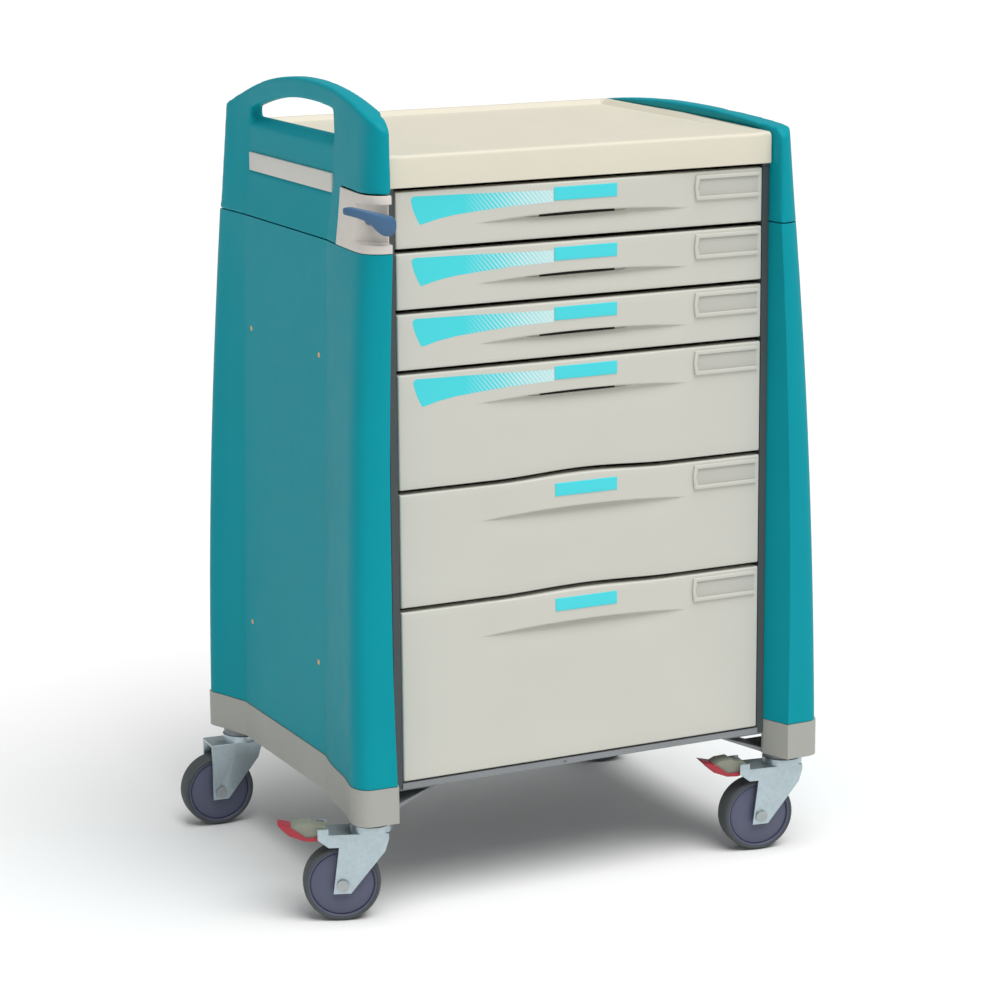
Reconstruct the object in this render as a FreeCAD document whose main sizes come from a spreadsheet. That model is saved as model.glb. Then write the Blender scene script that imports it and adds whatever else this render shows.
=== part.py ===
"""Crash cart: a six-drawer ward trolley on four casters.

A folded steel cabinet carries six drawers on two-member slides.  Moulded side panels,
split at a seam into upper, lower and skirt mouldings, clad its two sides; the left upper
panel rises into a push handle.  A lever in the left front pillar lifts the drawer lock
bar.  The front two casters have brake pedals.

X runs across the cart (+X on the right, seen from the front), Y from front to back and Z
up.  The model is laid out from the middle of the cabinet, the plane of the drawer fronts
and the floor, and is moved at the end so that its origin is the middle of its footprint.
"""
import FreeCAD, Part
import math
import os
import re

import Sketcher

os.makedirs("parts", exist_ok=True)
doc = FreeCAD.newDocument("crash_cart")
sheet = doc.addObject("Spreadsheet::Sheet", "sizes")
Vector = FreeCAD.Vector
Z_AXIS = Vector(0, 0, 1)

# ---------------------------------------------------------------- driving dimensions (mm)
SIZES = [
    # heights
    ("caster_height", 135.0),       # floor to the face that the caster bolts to
    ("foot_height", 30.0),          # bracket between that face and the cabinet base
    ("base_height", 7.5),           # folded edge of the cabinet base
    ("base_gap", 2.5),              # base to lowest drawer front
    ("top_gap", 5.5),               # highest drawer front to worktop
    # drawer bank
    ("front_width", 523.0),
    ("front_depth", 18.0),
    ("front_wall", 10.0),           # web left in front of the hollow back
    ("front_rim", 4.0),
    ("drawer_pitch", 76.2),         # one height unit, three inches
    ("drawer_gap", 6.0),
    ("units_1", 1.0),
    ("units_2", 1.0),
    ("units_3", 1.0),
    ("units_4", 2.0),
    ("units_5", 2.0),
    ("units_6", 3.0),
    # pull, badge and label rails of a drawer front
    ("pull_half", 148.0),
    ("pull_drop", 45.0),            # top edge down to the ends of the crease
    ("pull_rise", 7.0),
    ("lip_bulge", 5.0),
    ("scoop_drop", 20.0),
    ("scoop_depth", 6.0),
    ("badge_width", 90.0),
    ("badge_height", 17.0),
    ("badge_drop", 6.0),
    ("badge_thick", 1.2),
    ("badge_set", 3.4),             # back of the badge in front of the drawer front
    ("label_end", 5.5),             # label holder to the end of the front
    ("label_width", 94.0),
    ("label_height", 32.0),
    ("label_drop", 4.5),
    ("label_rail", 5.0),
    ("label_stop", 3.0),
    ("label_proud", 2.2),
    # cabinet
    ("post_width", 10.0),
    ("post_depth", 18.0),
    ("post_clear", 1.5),            # drawer front to post
    ("post_setback", 2.0),
    ("sheet_wall", 1.5),
    ("cabinet_depth", 447.0),
    ("hole_radius", 2.5),
    ("hole_offset", 30.0),          # small hole in the base edge, left of the middle
    # drawer trays and slides
    ("tray_wall", 1.2),
    ("tray_depth", 400.0),
    ("tray_low", 6.0),              # tray floor above the lower edge of the front
    ("tray_drop", 12.0),            # tray rim below the upper edge of the front
    ("slide_height", 36.0),
    ("slide_lift", 5.0),
    ("slide_inset", 4.0),           # channel behind the post
    ("slide_length", 410.0),
    ("slide_clear", 0.6),
    ("runner_side", 1.0),           # runner inside the end of the drawer front
    ("runner_thick", 9.0),
    ("channel_flange", 18.0),
    # worktop
    ("worktop_height", 40.0),
    ("worktop_front", 4.0),         # overhang in front of the drawer fronts
    ("worktop_rear", 2.0),
    ("worktop_clear", 0.5),
    ("worktop_wall", 5.0),
    ("rim_height", 6.0),
    ("rim_width", 12.0),
    ("rim_start", 20.0),
    # side mouldings
    ("panel_clear", 0.5),
    ("panel_wall", 3.5),
    ("seam_drop", 72.0),            # top drawer edge down to the seam
    ("seam_gap", 0.8),
    ("skirt_height", 48.0),
    ("skirt_proud", 1.5),
    ("pillar_front", 38.5),         # front crest before the drawer fronts, at the skirt
    ("pillar_rear", 39.0),          # rear pillar behind the cabinet
    ("crest_lean", 14.5),           # how far the front crest leans back up to the seam
    ("crest_foot", 15.0),           # crest outside the cabinet, at the skirt
    ("crest_seam", 4.0),
    ("corner_foot", 65.0),          # outer front corner outside the cabinet, at the skirt
    ("corner_seam", 38.0),
    ("corner_round", 13.0),
    ("corner_soften", 15.0),        # growth of that rounding up to the seam
    ("rear_seam", 30.5),            # outer rear corner outside the cabinet, at the seam
    ("waist_bow", 7.0),             # outward bow of the corners halfway up
    ("recess_foot", 42.4),          # flat between the pillars, outside the cabinet
    ("recess_seam", 27.0),
    ("recess_top", 18.0),           # the same above the strip
    ("upper_taper", 0.085),         # slope of the corners above the seam
    ("recess_front", 128.0),
    ("recess_rear", 406.0),
    ("fit_clear", 0.4),
    # push handle on the left, low arch on the right
    ("handle_peak", 119.0),         # above the underside of the worktop
    ("handle_front_drop", 36.0),
    ("handle_rear_drop", 54.5),
    ("arch_peak", 58.5),
    ("arch_front_drop", 12.0),
    ("arch_rear_drop", 17.0),
    ("peak_back", 220.0),           # peak of either arch behind the drawer fronts
    ("grip_thick", 27.0),
    ("sill_height", 40.0),          # hand hole above the underside of the worktop
    ("sill_rise", 14.0),            # further rise of the sill to its inner edge
    ("lip_over", 5.0),              # moulding over the rim of the worktop
    ("strip_low", 18.0),            # strip below the underside of the worktop
    ("strip_height", 25.0),
    ("strip_thick", 4.0),
    # panel screws
    ("screw_radius", 3.5),
    ("shank_radius", 1.75),
    ("screw_sink", 1.5),
    ("screw_inset", 24.0),          # screw inside the edge of the recess
    ("screw_high", 150.0),          # below the seam
    ("screw_low", 120.0),           # above the skirt
    # drawer lock
    ("housing_rear", 88.0),
    ("pocket_shelf", 11.0),
    ("pocket_rear", 28.0),
    ("pocket_floor", 10.0),         # pocket before the drawer fronts, at the crest
    ("lever_x", 20.0),              # pivot outside the cabinet
    ("lever_drop", 34.3),           # top drawer edge down to the pivot
    ("lever_length", 44.0),
    ("lever_tip", 11.0),
    ("lever_thick", 11.0),
    ("lever_angle", 28.0),
    ("lever_front", 35.0),
    ("hub_radius", 14.0),
    ("spindle_radius", 4.0),
    ("spindle_clear", 0.05),
    ("bar_width", 10.0),
    ("bar_thick", 3.0),
    ("bar_side", 2.0),              # bar outside the cabinet
    ("bar_front", 14.0),
    ("hook_reach", 1.5),
    ("hook_height", 8.0),
    # casters
    ("wheel_radius", 50.0),
    ("tyre_width", 31.0),
    ("tread_thick", 3.5),
    ("groove_radius", 42.0),
    ("hub_width", 29.0),
    ("bore_clear", 0.05),
    ("axle_radius", 5.0),
    ("axle_head", 8.0),
    ("axle_head_height", 3.0),
    ("trail", 39.0),
    ("fork_inner", 38.0),
    ("fork_wall", 2.8),
    ("fork_top", 118.0),
    ("head_radius", 27.0),
    ("head_height", 9.0),
    ("head_gap", 0.4),
    ("head_front", 21.0),           # front edge of the fork before the swivel axis
    ("head_chamfer", 24.0),
    ("leg_low", 11.0),              # leg below the axle
    ("leg_front", 10.5),
    ("leg_back", 12.0),
    ("leg_top", 4.0),
    ("ear_drop", 17.0),
    ("ear_radius", 7.0),
    ("kingpin_radius", 6.0),
    ("caster_x", 33.0),             # swivel axis outside the cabinet
    ("caster_front", 6.0),
    ("caster_rear", 449.0),
    ("pivot_x", 63.0),
    ("pivot_z", 119.0),
    ("pivot_radius", 3.0),
    ("pedal_width", 30.0),
    ("bracket_wall", 4.0),
    ("bracket_depth", 52.0),
]
size = {}
for row, (alias, number) in enumerate(SIZES, start=1):
    sheet.set("A%d" % row, alias)
    sheet.set("B%d" % row, str(number))
    sheet.setAlias("B%d" % row, alias)
doc.recompute()
for alias, _ in SIZES:
    size[alias] = float(sheet.get(alias))

# Places that several pieces share, as expressions over the sheet
BASE_Z = "(caster_height + foot_height)"
UNITS = "(units_1 + units_2 + units_3 + units_4 + units_5 + units_6)"
BANK_TOP = "(%s + base_height + base_gap + drawer_pitch * %s - drawer_gap)" % (BASE_Z, UNITS)
WORKTOP_Z = "(%s + top_gap)" % BANK_TOP
POST_IN = "(front_width / 2 + post_clear)"
CABINET_X = "(front_width / 2 + post_clear + post_width)"
TRAY_X = "(front_width / 2 - runner_side - runner_thick)"
SEAM_Z = "(%s - seam_drop)" % BANK_TOP
SKIRT_TOP = "(caster_height + skirt_height)"
MOUTH_FRONT = "(post_setback + panel_clear + 1.2 * panel_wall)"
MOUTH_REAR = "(cabinet_depth - 1.2 * panel_wall)"

CASTERS = [("front_left", -1, "caster_front", -20.0),
           ("front_right", 1, "caster_front", -8.0),
           ("rear_left", -1, "caster_rear", -4.0),
           ("rear_right", 1, "caster_rear", -12.0)]
DRAWERS = range(1, 7)
sub_parts = []


def bound(expression):
    """Expression with every alias written as a reference to the sheet."""
    def refer(word):
        return "sizes." + word.group() if word.group() in size else word.group()
    return re.sub(r"[a-z]\w*", refer, expression)


def value(expression):
    """Number that an expression over the sheet gives."""
    return float(sheet.evalExpression(bound(expression)))


def keep(obj, label):
    """Enter a finished object as the sub-part that its label names."""
    obj.Label = label
    sub_parts.append(obj)
    return obj


# ---------------------------------------------------------------- primitives and booleans
def bind(obj, expressions):
    for prop, expression in expressions.items():
        obj.setExpression(prop, bound(expression))
    return obj


def place(obj, corner):
    """Bind the object's position to three expressions."""
    return bind(obj, {".Placement.Base." + axis: at for axis, at in zip("xyz", corner)})


def box(name, corner, spans):
    made = doc.addObject("Part::Box", name)
    bind(made, dict(zip(("Length", "Width", "Height"), spans)))
    return place(made, corner)


def cylinder(name, centre, radius, height, direction=Z_AXIS):
    made = doc.addObject("Part::Cylinder", name)
    made.Placement.Rotation = FreeCAD.Rotation(Z_AXIS, direction)
    bind(made, {"Radius": radius, "Height": height})
    return place(made, centre)


def fuse(name, shapes):
    made = doc.addObject("Part::MultiFuse", name)
    made.Shapes = shapes
    return made


def cut(name, base, tools):
    made = doc.addObject("Part::Cut", name)
    made.Base = base
    made.Tool = tools[0] if len(tools) == 1 else fuse(name + "_tools", tools)
    return made


def group(label, shapes):
    """Like pieces that share one node as separate solids."""
    made = doc.addObject("Part::Compound", label)
    made.Links = shapes
    return keep(made, label)


# ---------------------------------------------------------------- sketched bodies
def new_body(label):
    return keep(doc.addObject("PartDesign::Body", label), label)


def rectangle(left, low, right, high):
    return [(left, low), (right, low), (right, high), (left, high)]


def arc_middle(start, end, radius, bulge):
    """Point halfway along the arc from start to end; bulge +1 is to the left of travel."""
    chord = end - start
    sag = radius - math.sqrt(radius ** 2 - (chord.Length / 2) ** 2)
    left = Vector(-chord.y, chord.x, 0).normalize()
    return (start + end) * 0.5 + left * sag * bulge


def outline(body, role, name, points, offset="0", arcs=None):
    """Closed sketch through points (pairs of expressions) on a plane of the body's origin.

    arcs maps an edge's index to its radius expression and bulge.
    """
    arcs = arcs or {}
    sketch = body.newObject("Sketcher::SketchObject", name)
    plane = next(part for part in body.Origin.OriginFeatures if part.Role == role)
    sketch.AttachmentSupport = [(plane, "")]
    sketch.MapMode = "FlatFace"
    sketch.setExpression(".AttachmentOffset.Base.z", bound(offset))
    corners = [Vector(value(x), value(y), 0) for x, y in points]
    for index, start in enumerate(corners):
        end = corners[(index + 1) % len(corners)]
        if index in arcs:
            radius, bulge = arcs[index]
            middle = arc_middle(start, end, value(radius), bulge)
            sketch.addGeometry(Part.Arc(start, middle, end), False)
        else:
            sketch.addGeometry(Part.LineSegment(start, end), False)

    def end_at(edge, corner):
        return 1 if (sketch.getPoint(edge, 1) - corner).Length < 1e-6 else 2

    for index, corner in enumerate(corners):
        before = (index - 1) % len(corners)
        here = end_at(index, corner)
        sketch.addConstraint(
            Sketcher.Constraint("Coincident", before, end_at(before, corner), index, here))
        for kind, expression in zip(("DistanceX", "DistanceY"), points[index]):
            number = sketch.addConstraint(
                Sketcher.Constraint(kind, -1, 1, index, here, value(expression)))
            sketch.setExpression("Constraints[%d]" % number, bound(expression))
    for index, (radius, bulge) in arcs.items():
        number = sketch.addConstraint(Sketcher.Constraint("Radius", index, value(radius)))
        sketch.setExpression("Constraints[%d]" % number, bound(radius))
    return sketch


def disc(body, role, name, centre, radius, offset="0"):
    """Round sketch with its centre and radius bound to the sheet."""
    sketch = body.newObject("Sketcher::SketchObject", name)
    plane = next(part for part in body.Origin.OriginFeatures if part.Role == role)
    sketch.AttachmentSupport = [(plane, "")]
    sketch.MapMode = "FlatFace"
    sketch.setExpression(".AttachmentOffset.Base.z", bound(offset))
    middle = Vector(value(centre[0]), value(centre[1]), 0)
    sketch.addGeometry(Part.Circle(middle, Z_AXIS, value(radius)), False)
    for kind, expression in zip(("DistanceX", "DistanceY"), centre):
        number = sketch.addConstraint(
            Sketcher.Constraint(kind, -1, 1, 0, 3, value(expression)))
        sketch.setExpression("Constraints[%d]" % number, bound(expression))
    number = sketch.addConstraint(Sketcher.Constraint("Radius", 0, value(radius)))
    sketch.setExpression("Constraints[%d]" % number, bound(radius))
    return sketch


def extrude(body, kind, sketch, length, flip=False, midplane=False):
    made = body.newObject("PartDesign::" + kind, sketch.Name + "_" + kind.lower())
    made.Profile = sketch
    made.setExpression("Length", bound(length))
    made.Reversed = flip
    made.Midplane = midplane
    return made


def revolve(body, sketch):
    made = body.newObject("PartDesign::Revolution", sketch.Name + "_turned")
    made.Profile = sketch
    made.ReferenceAxis = (sketch, ["H_Axis"])
    made.Angle = 360.0
    return made


# ---------------------------------------------------------------- cabinet
def cabinet_side(label, side):
    """Side sheet whose front edge is folded into a hollow post beside the drawers."""
    body = new_body(label)
    front, back = "post_setback", "cabinet_depth - sheet_wall"
    post_back = "post_setback + post_depth"
    plan = [(CABINET_X, front), (CABINET_X, back),
            (CABINET_X + " - sheet_wall", back),
            (CABINET_X + " - sheet_wall", front + " + sheet_wall"),
            (POST_IN + " + sheet_wall", front + " + sheet_wall"),
            (POST_IN + " + sheet_wall", post_back),
            (POST_IN, post_back), (POST_IN, front)]
    plan = [("%d * (%s)" % (side, x), y) for x, y in plan]
    folded = outline(body, "XY_Plane", label + "_plan", plan, offset=BASE_Z)
    extrude(body, "Pad", folded, "%s - %s" % (WORKTOP_Z, BASE_Z))


def cabinet_back():
    sheet_box = box("back_sheet", ("-" + CABINET_X, "cabinet_depth - sheet_wall", BASE_Z),
                    ("2 * " + CABINET_X, "sheet_wall", "%s - %s" % (WORKTOP_Z, BASE_Z)))
    group("cabinet_back", [sheet_box])


def cabinet_base():
    """Folded pan between the side sheets; its front edge shows below the lowest drawer."""
    body = new_body("cabinet_base")
    wide, rear = "(%s - sheet_wall)" % CABINET_X, "cabinet_depth - sheet_wall"
    step = "post_setback + post_depth"
    plan = [("-" + POST_IN, "0"), (POST_IN, "0"), (POST_IN, step), (wide, step),
            (wide, rear), ("-" + wide, rear), ("-" + wide, step), ("-" + POST_IN, step)]
    pan = outline(body, "XY_Plane", "pan_plan", plan, offset=BASE_Z)
    extrude(body, "Pad", pan, "base_height")
    under = rectangle("sheet_wall - " + POST_IN, "sheet_wall",
                      POST_IN + " - sheet_wall", rear + " - sheet_wall")
    hollow = outline(body, "XY_Plane", "under_plan", under, offset=BASE_Z)
    extrude(body, "Pocket", hollow, "base_height - sheet_wall", flip=True)
    hole = disc(body, "XZ_Plane", "edge_hole",
                ("-hole_offset", BASE_Z + " + base_height / 2"), "hole_radius")
    extrude(body, "Pocket", hole, "2 * sheet_wall")


def slide_channels():
    """Twelve C-shaped slide members, open towards the drawers, fixed to the side sheets."""
    channels = []
    outer_x = "(%s - sheet_wall)" % CABINET_X
    margin = "(slide_clear + sheet_wall)"
    for number in DRAWERS:
        low = "%s - %s" % (runner_low(number), margin)
        for side, name in ((-1, "left"), (1, "right")):
            tag = "%s_%d" % (name, number)
            start = "post_setback + post_depth + slide_inset"
            corner = "-" + outer_x if side < 0 else outer_x + " - channel_flange"
            bar = box("channel_" + tag, (corner, start, low),
                      ("channel_flange", "slide_length", "slide_height + 2 * " + margin))
            inner = corner + " + sheet_wall" if side < 0 else corner
            groove = box("groove_" + tag, (inner, start, low + " + sheet_wall"),
                         ("channel_flange - sheet_wall", "slide_length",
                          "slide_height + 2 * slide_clear"))
            channels.append(cut("c_channel_" + tag, bar, [groove]))
    group("slide_channels", channels)


def worktop():
    """Moulded top, hollow underneath, with a raised rim at its sides and back."""
    body = new_body("worktop")
    half = "(%s - worktop_clear)" % CABINET_X
    rear = "cabinet_depth + worktop_rear"
    plate = outline(body, "XY_Plane", "top_plan",
                    rectangle("-" + half, "-worktop_front", half, rear), offset=WORKTOP_Z)
    extrude(body, "Pad", plate, "worktop_height")
    inner = "(%s - rim_width)" % half
    rim_plan = [("-" + half, "rim_start"), ("-" + inner, "rim_start"),
                ("-" + inner, rear + " - rim_width"), (inner, rear + " - rim_width"),
                (inner, "rim_start"), (half, "rim_start"), (half, rear), ("-" + half, rear)]
    rim = outline(body, "XY_Plane", "rim_plan", rim_plan,
                  offset=WORKTOP_Z + " + worktop_height")
    extrude(body, "Pad", rim, "rim_height")
    under = rectangle("worktop_wall - " + half, "worktop_wall - worktop_front",
                      half + " - worktop_wall", rear + " - worktop_wall")
    hollow = outline(body, "XY_Plane", "under_top_plan", under, offset=WORKTOP_Z)
    extrude(body, "Pocket", hollow, "worktop_height - worktop_wall", flip=True)


# ---------------------------------------------------------------- drawers
def front_height(number):
    return "(drawer_pitch * units_%d - drawer_gap)" % number


def front_top(number):
    above = ["units_%d" % other for other in DRAWERS if other < number]
    return "(%s - drawer_pitch * (%s))" % (BANK_TOP, " + ".join(above) or "0")


def runner_low(number):
    return "(%s - %s + tray_low + slide_lift)" % (front_top(number), front_height(number))


def drawer_front(number):
    """Moulded front: pull lip over a finger scoop, badge seat and label rails.

    It is drawn from the middle of its upper front edge.
    """
    label = "drawer_front_%d" % number
    body = new_body(label)
    height = front_height(number)
    edge = rectangle("-front_width / 2", "-" + height, "front_width / 2", "0")
    plate = outline(body, "XZ_Plane", label + "_plate", edge)
    extrude(body, "Pad", plate, "front_depth", flip=True)

    bulge_radius = "(pull_half ^ 2 + lip_bulge ^ 2) / (2 * lip_bulge)"
    lip_plan = [("-pull_half", "0"), ("pull_half", "0"),
                ("pull_half", "front_wall / 2"), ("-pull_half", "front_wall / 2")]
    lip = outline(body, "XY_Plane", label + "_lip", lip_plan, arcs={0: (bulge_radius, -1)})
    extrude(body, "Pad", lip, "pull_drop", flip=True)

    crease_radius = "(pull_half ^ 2 + pull_rise ^ 2) / (2 * pull_rise)"
    dish_radius = "(pull_half ^ 2 + scoop_drop ^ 2) / (2 * scoop_drop)"
    crease = [("-pull_half", "-pull_drop"), ("pull_half", "-pull_drop")]
    scoop = outline(body, "XZ_Plane", label + "_scoop", crease, offset="2 * lip_bulge",
                    arcs={0: (dish_radius, -1), 1: (crease_radius, -1)})
    extrude(body, "Pocket", scoop, "2 * lip_bulge + scoop_depth")

    hollow = rectangle("front_rim - front_width / 2", "front_rim - " + height,
                       "front_width / 2 - front_rim", "-front_rim")
    back = outline(body, "XZ_Plane", label + "_back", hollow, offset="-front_depth")
    extrude(body, "Pocket", back, "front_depth - front_wall", flip=True)

    seat = rectangle("-badge_width / 2", "-badge_drop - badge_height",
                     "badge_width / 2", "-badge_drop")
    badge = outline(body, "XZ_Plane", label + "_seat", seat, offset="2 * lip_bulge")
    extrude(body, "Pocket", badge, "2 * lip_bulge - badge_set")

    right = "(front_width / 2 - label_end)"
    left = "(%s - label_width)" % right
    low = "(-label_drop - label_height)"
    holder = [(left, low), (right, low), (right, low + " + label_rail"),
              (left + " + label_stop", low + " + label_rail"),
              (left + " + label_stop", "-label_drop - label_rail"),
              (right, "-label_drop - label_rail"), (right, "-label_drop"),
              (left, "-label_drop")]
    rails = outline(body, "XZ_Plane", label + "_rails", holder)
    extrude(body, "Pad", rails, "label_proud")
    bind(body, {".Placement.Base.z": front_top(number)})


def pull_badge(number):
    """Colour-coded plate that clips into the pull lip."""
    width = "badge_width - 2 * fit_clear"
    height = "badge_height - 2 * fit_clear"
    plate = box("badge_plate_%d" % number,
                ("-(%s) / 2" % width, "-badge_set - badge_thick",
                 "%s - badge_drop - badge_height + fit_clear" % front_top(number)),
                (width, "badge_thick", height))
    group("pull_badge_%d" % number, [plate])


def drawer_tray(number):
    """Folded steel tray, open at the top, seated in the hollow back of its front."""
    label = "drawer_tray_%d" % number
    body = new_body(label)
    low = "(tray_low - %s)" % front_height(number)
    rear = "front_wall + tray_depth"
    outer = outline(body, "XY_Plane", label + "_outer",
                    rectangle("-" + TRAY_X, "front_wall", TRAY_X, rear), offset=low)
    height = "(-tray_drop - %s)" % low
    extrude(body, "Pad", outer, height)
    room = rectangle("tray_wall - " + TRAY_X, "front_wall + tray_wall",
                     TRAY_X + " - tray_wall", rear + " - tray_wall")
    inner = outline(body, "XY_Plane", label + "_inner", room, offset="-tray_drop")
    extrude(body, "Pocket", inner, height + " - tray_wall")
    bind(body, {".Placement.Base.z": front_top(number)})


def drawer_runners(number):
    """Pair of slide members fixed to the sides of a tray."""
    start = "post_setback + post_depth + slide_inset"
    length = "front_wall + tray_depth - (%s)" % start
    bars = []
    for name, corner in (("left", "-%s - runner_thick" % TRAY_X), ("right", TRAY_X)):
        bars.append(box("runner_%s_%d" % (name, number), (corner, start, runner_low(number)),
                        ("runner_thick", length, "slide_height")))
    group("drawer_runners_%d" % number, bars)


# ---------------------------------------------------------------- side mouldings
def reach(foot, seam, height, taper):
    """How far a point of the moulding stands outside the cabinet at a height."""
    seam_z = value(SEAM_Z)
    if height > seam_z:
        return seam - taper * (height - seam_z)
    level = (seam_z - height) / (seam_z - value(SKIRT_TOP))
    return seam + (foot - seam) * level + 4 * size["waist_bow"] * level * (1 - level)


def recess_reach(height):
    """Flat between the pillars: straight up to the seam, then in to the strip."""
    seam_z = value(SEAM_Z)
    if height > seam_z:
        strip_top = value(WORKTOP_Z) - size["strip_low"]
        part_way = min(1.0, (height - seam_z) / (strip_top - seam_z))
        return size["recess_seam"] + (size["recess_top"] - size["recess_seam"]) * part_way
    level = (seam_z - height) / (seam_z - value(SKIRT_TOP))
    return size["recess_seam"] + (size["recess_foot"] - size["recess_seam"]) * level


def moulding_section(side, height, grow=0.0, mouth=0.0):
    """Plan outline of the side cladding at a height.

    grow moves the visible skin outwards. A cavity has a negative grow, and a mouth: how far
    it reaches past the edge beside the cabinet, and so how thick the walls by it are.
    """
    taper = size["upper_taper"]
    seam_z, foot_z = value(SEAM_Z), value(SKIRT_TOP)
    level = (seam_z - height) / (seam_z - foot_z)
    cabinet = value(CABINET_X)
    near = cabinet + size["panel_clear"]
    crest_x = cabinet + reach(size["crest_foot"], size["crest_seam"], height, 0.0) - 0.7 * grow
    crest_y = -size["pillar_front"] + size["crest_lean"] * (1 - level) - grow
    corner_x = cabinet + reach(size["corner_foot"], size["corner_seam"], height, taper) + grow
    rear_x = cabinet + reach(size["corner_foot"], size["rear_seam"], height, taper) + grow
    flat_x = cabinet + recess_reach(height) + grow
    radius = size["corner_round"] + size["corner_soften"] * (1 - level)
    rear_y = size["cabinet_depth"] + size["pillar_rear"] + grow
    start, stop = size["recess_front"], size["recess_rear"]
    face, side_y = corner_x - crest_x, crest_y + 1.2 * radius
    front_pillar = [
        (crest_x, crest_y),
        (crest_x + 0.55 * face, crest_y + 0.1 * radius),
        (crest_x + 0.87 * face, crest_y + 0.45 * radius),
        (corner_x, side_y),
        (corner_x - 0.16 * (corner_x - flat_x), side_y + 0.25 * (start - side_y)),
        (corner_x - 0.53 * (corner_x - flat_x), side_y + 0.65 * (start - side_y)),
        (flat_x, start)]
    rise, run = rear_x - flat_x, rear_y - stop
    rear_pillar = [
        (flat_x, stop),
        (flat_x + 0.33 * rise, stop + 0.27 * run),
        (flat_x + 0.72 * rise, stop + 0.60 * run),
        (rear_x, stop + 0.95 * run),
        (rear_x - 0.12 * rise, rear_y)]
    rear_crest = (crest_x, rear_y)
    near_front = [(near, size["post_setback"] + size["panel_clear"])]
    near_rear = [(near, size["cabinet_depth"])]
    if mouth:
        front, rear = value(MOUTH_FRONT), value(MOUTH_REAR)
        near_front = [(near - mouth, front), (near + mouth, front)]
        near_rear = [(near + mouth, rear), (near - mouth, rear)]

    def spot(pair):
        return Vector(side * pair[0], pair[1], height)

    def line(first, second):
        return Part.makeLine(spot(first), spot(second))

    def curve(pairs):
        spline = Part.BSplineCurve()
        spline.interpolate([spot(pair) for pair in pairs])
        return spline.toShape()

    back = [rear_pillar[-1], rear_crest] + near_rear + near_front + front_pillar[:1]
    edges = [line(first, second) for first, second in zip(back, back[1:])]
    flat = line(front_pillar[-1], rear_pillar[0])
    return Part.Wire(edges + [curve(front_pillar), flat, curve(rear_pillar)])


def outward(solid):
    """The same solid with its faces pointing outwards."""
    if solid.Volume < 0:
        solid.reverse()
    return solid


def moulding(side, heights, grow=0.0, mouth=0.0):
    sections = [moulding_section(side, height, grow, mouth) for height in heights]
    return outward(Part.makeLoft(sections, True, False))


def feature(label, shape):
    made = doc.addObject("Part::Feature", label)
    made.Shape = shape.removeSplitter() if shape.ShapeType != "Compound" else shape
    return keep(made, label)


def block(low, high):
    span = Vector(*high) - Vector(*low)
    return Part.makeBox(span.x, span.y, span.z, Vector(*low))


def mirrored_block(side, low, high):
    """Block given for the right-hand side, or its mirror image on the left."""
    if side > 0:
        return block(low, high)
    return block((-high[0], low[1], low[2]), (-low[0], high[1], high[2]))


def screw_places(side):
    """Centres of the panel screws' heads, at the bottom of their counterbores."""
    high = value(SEAM_Z) - size["screw_high"]
    low = value(SKIRT_TOP) + size["screw_low"]
    front = size["recess_front"] + size["screw_inset"]
    rear = size["recess_rear"] - size["screw_inset"]
    for y, z in ((front, high), (rear, high), (front, low), (rear, low)):
        yield Vector(side * (value(CABINET_X) + recess_reach(z) - size["screw_sink"]), y, z)


def lower_panel(label, side):
    """Panel from the skirt to the seam, with counterbored holes for its screws."""
    wall, gap = size["panel_wall"], size["seam_gap"]
    low, high = value(SKIRT_TOP) + gap, value(SEAM_Z)
    middle = (low + high) / 2
    shell = moulding(side, (low, middle, high))
    cavity = moulding(side, (low - wall, middle, high + wall), grow=-wall, mouth=wall)
    shell = shell.cut(cavity)
    for centre in screw_places(side):
        away = Vector(side, 0, 0)
        head = Part.makeCylinder(size["screw_radius"] + size["fit_clear"],
                                 3 * wall, centre, away)
        shank = Part.makeCylinder(size["shank_radius"] + size["spindle_clear"],
                                  4 * wall, centre - away * 2 * wall, away)
        shell = shell.cut(head.fuse(shank))
    feature(label, shell)


def panel_screws():
    """Eight panel screws, each reaching to the side sheet of the cabinet."""
    screws = []
    for side in (-1, 1):
        for centre in screw_places(side):
            away = Vector(side, 0, 0)
            length = abs(centre.x) - value(CABINET_X) - size["spindle_clear"]
            head = Part.makeCylinder(size["screw_radius"], size["screw_sink"], centre, away)
            shank = Part.makeCylinder(size["shank_radius"], length, centre, -away)
            screws.append(head.fuse(shank))
    feature("panel_screws", Part.makeCompound(screws))


def skirt(label, side):
    """Moulding around the foot, standing a little proud of the panel above it."""
    wall, proud = size["panel_wall"], size["skirt_proud"]
    low, high = size["caster_height"], value(SKIRT_TOP)
    foot = moulding_section(side, high, grow=proud)
    foot.translate(Vector(0, 0, low - high))
    hollow = moulding_section(side, high, grow=proud - wall, mouth=wall)
    hollow.translate(Vector(0, 0, low - high))
    shell = outward(Part.Face(foot).extrude(Vector(0, 0, high - low)))
    feature(label, shell.cut(outward(Part.Face(hollow).extrude(Vector(0, 0, high - low)))))


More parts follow.
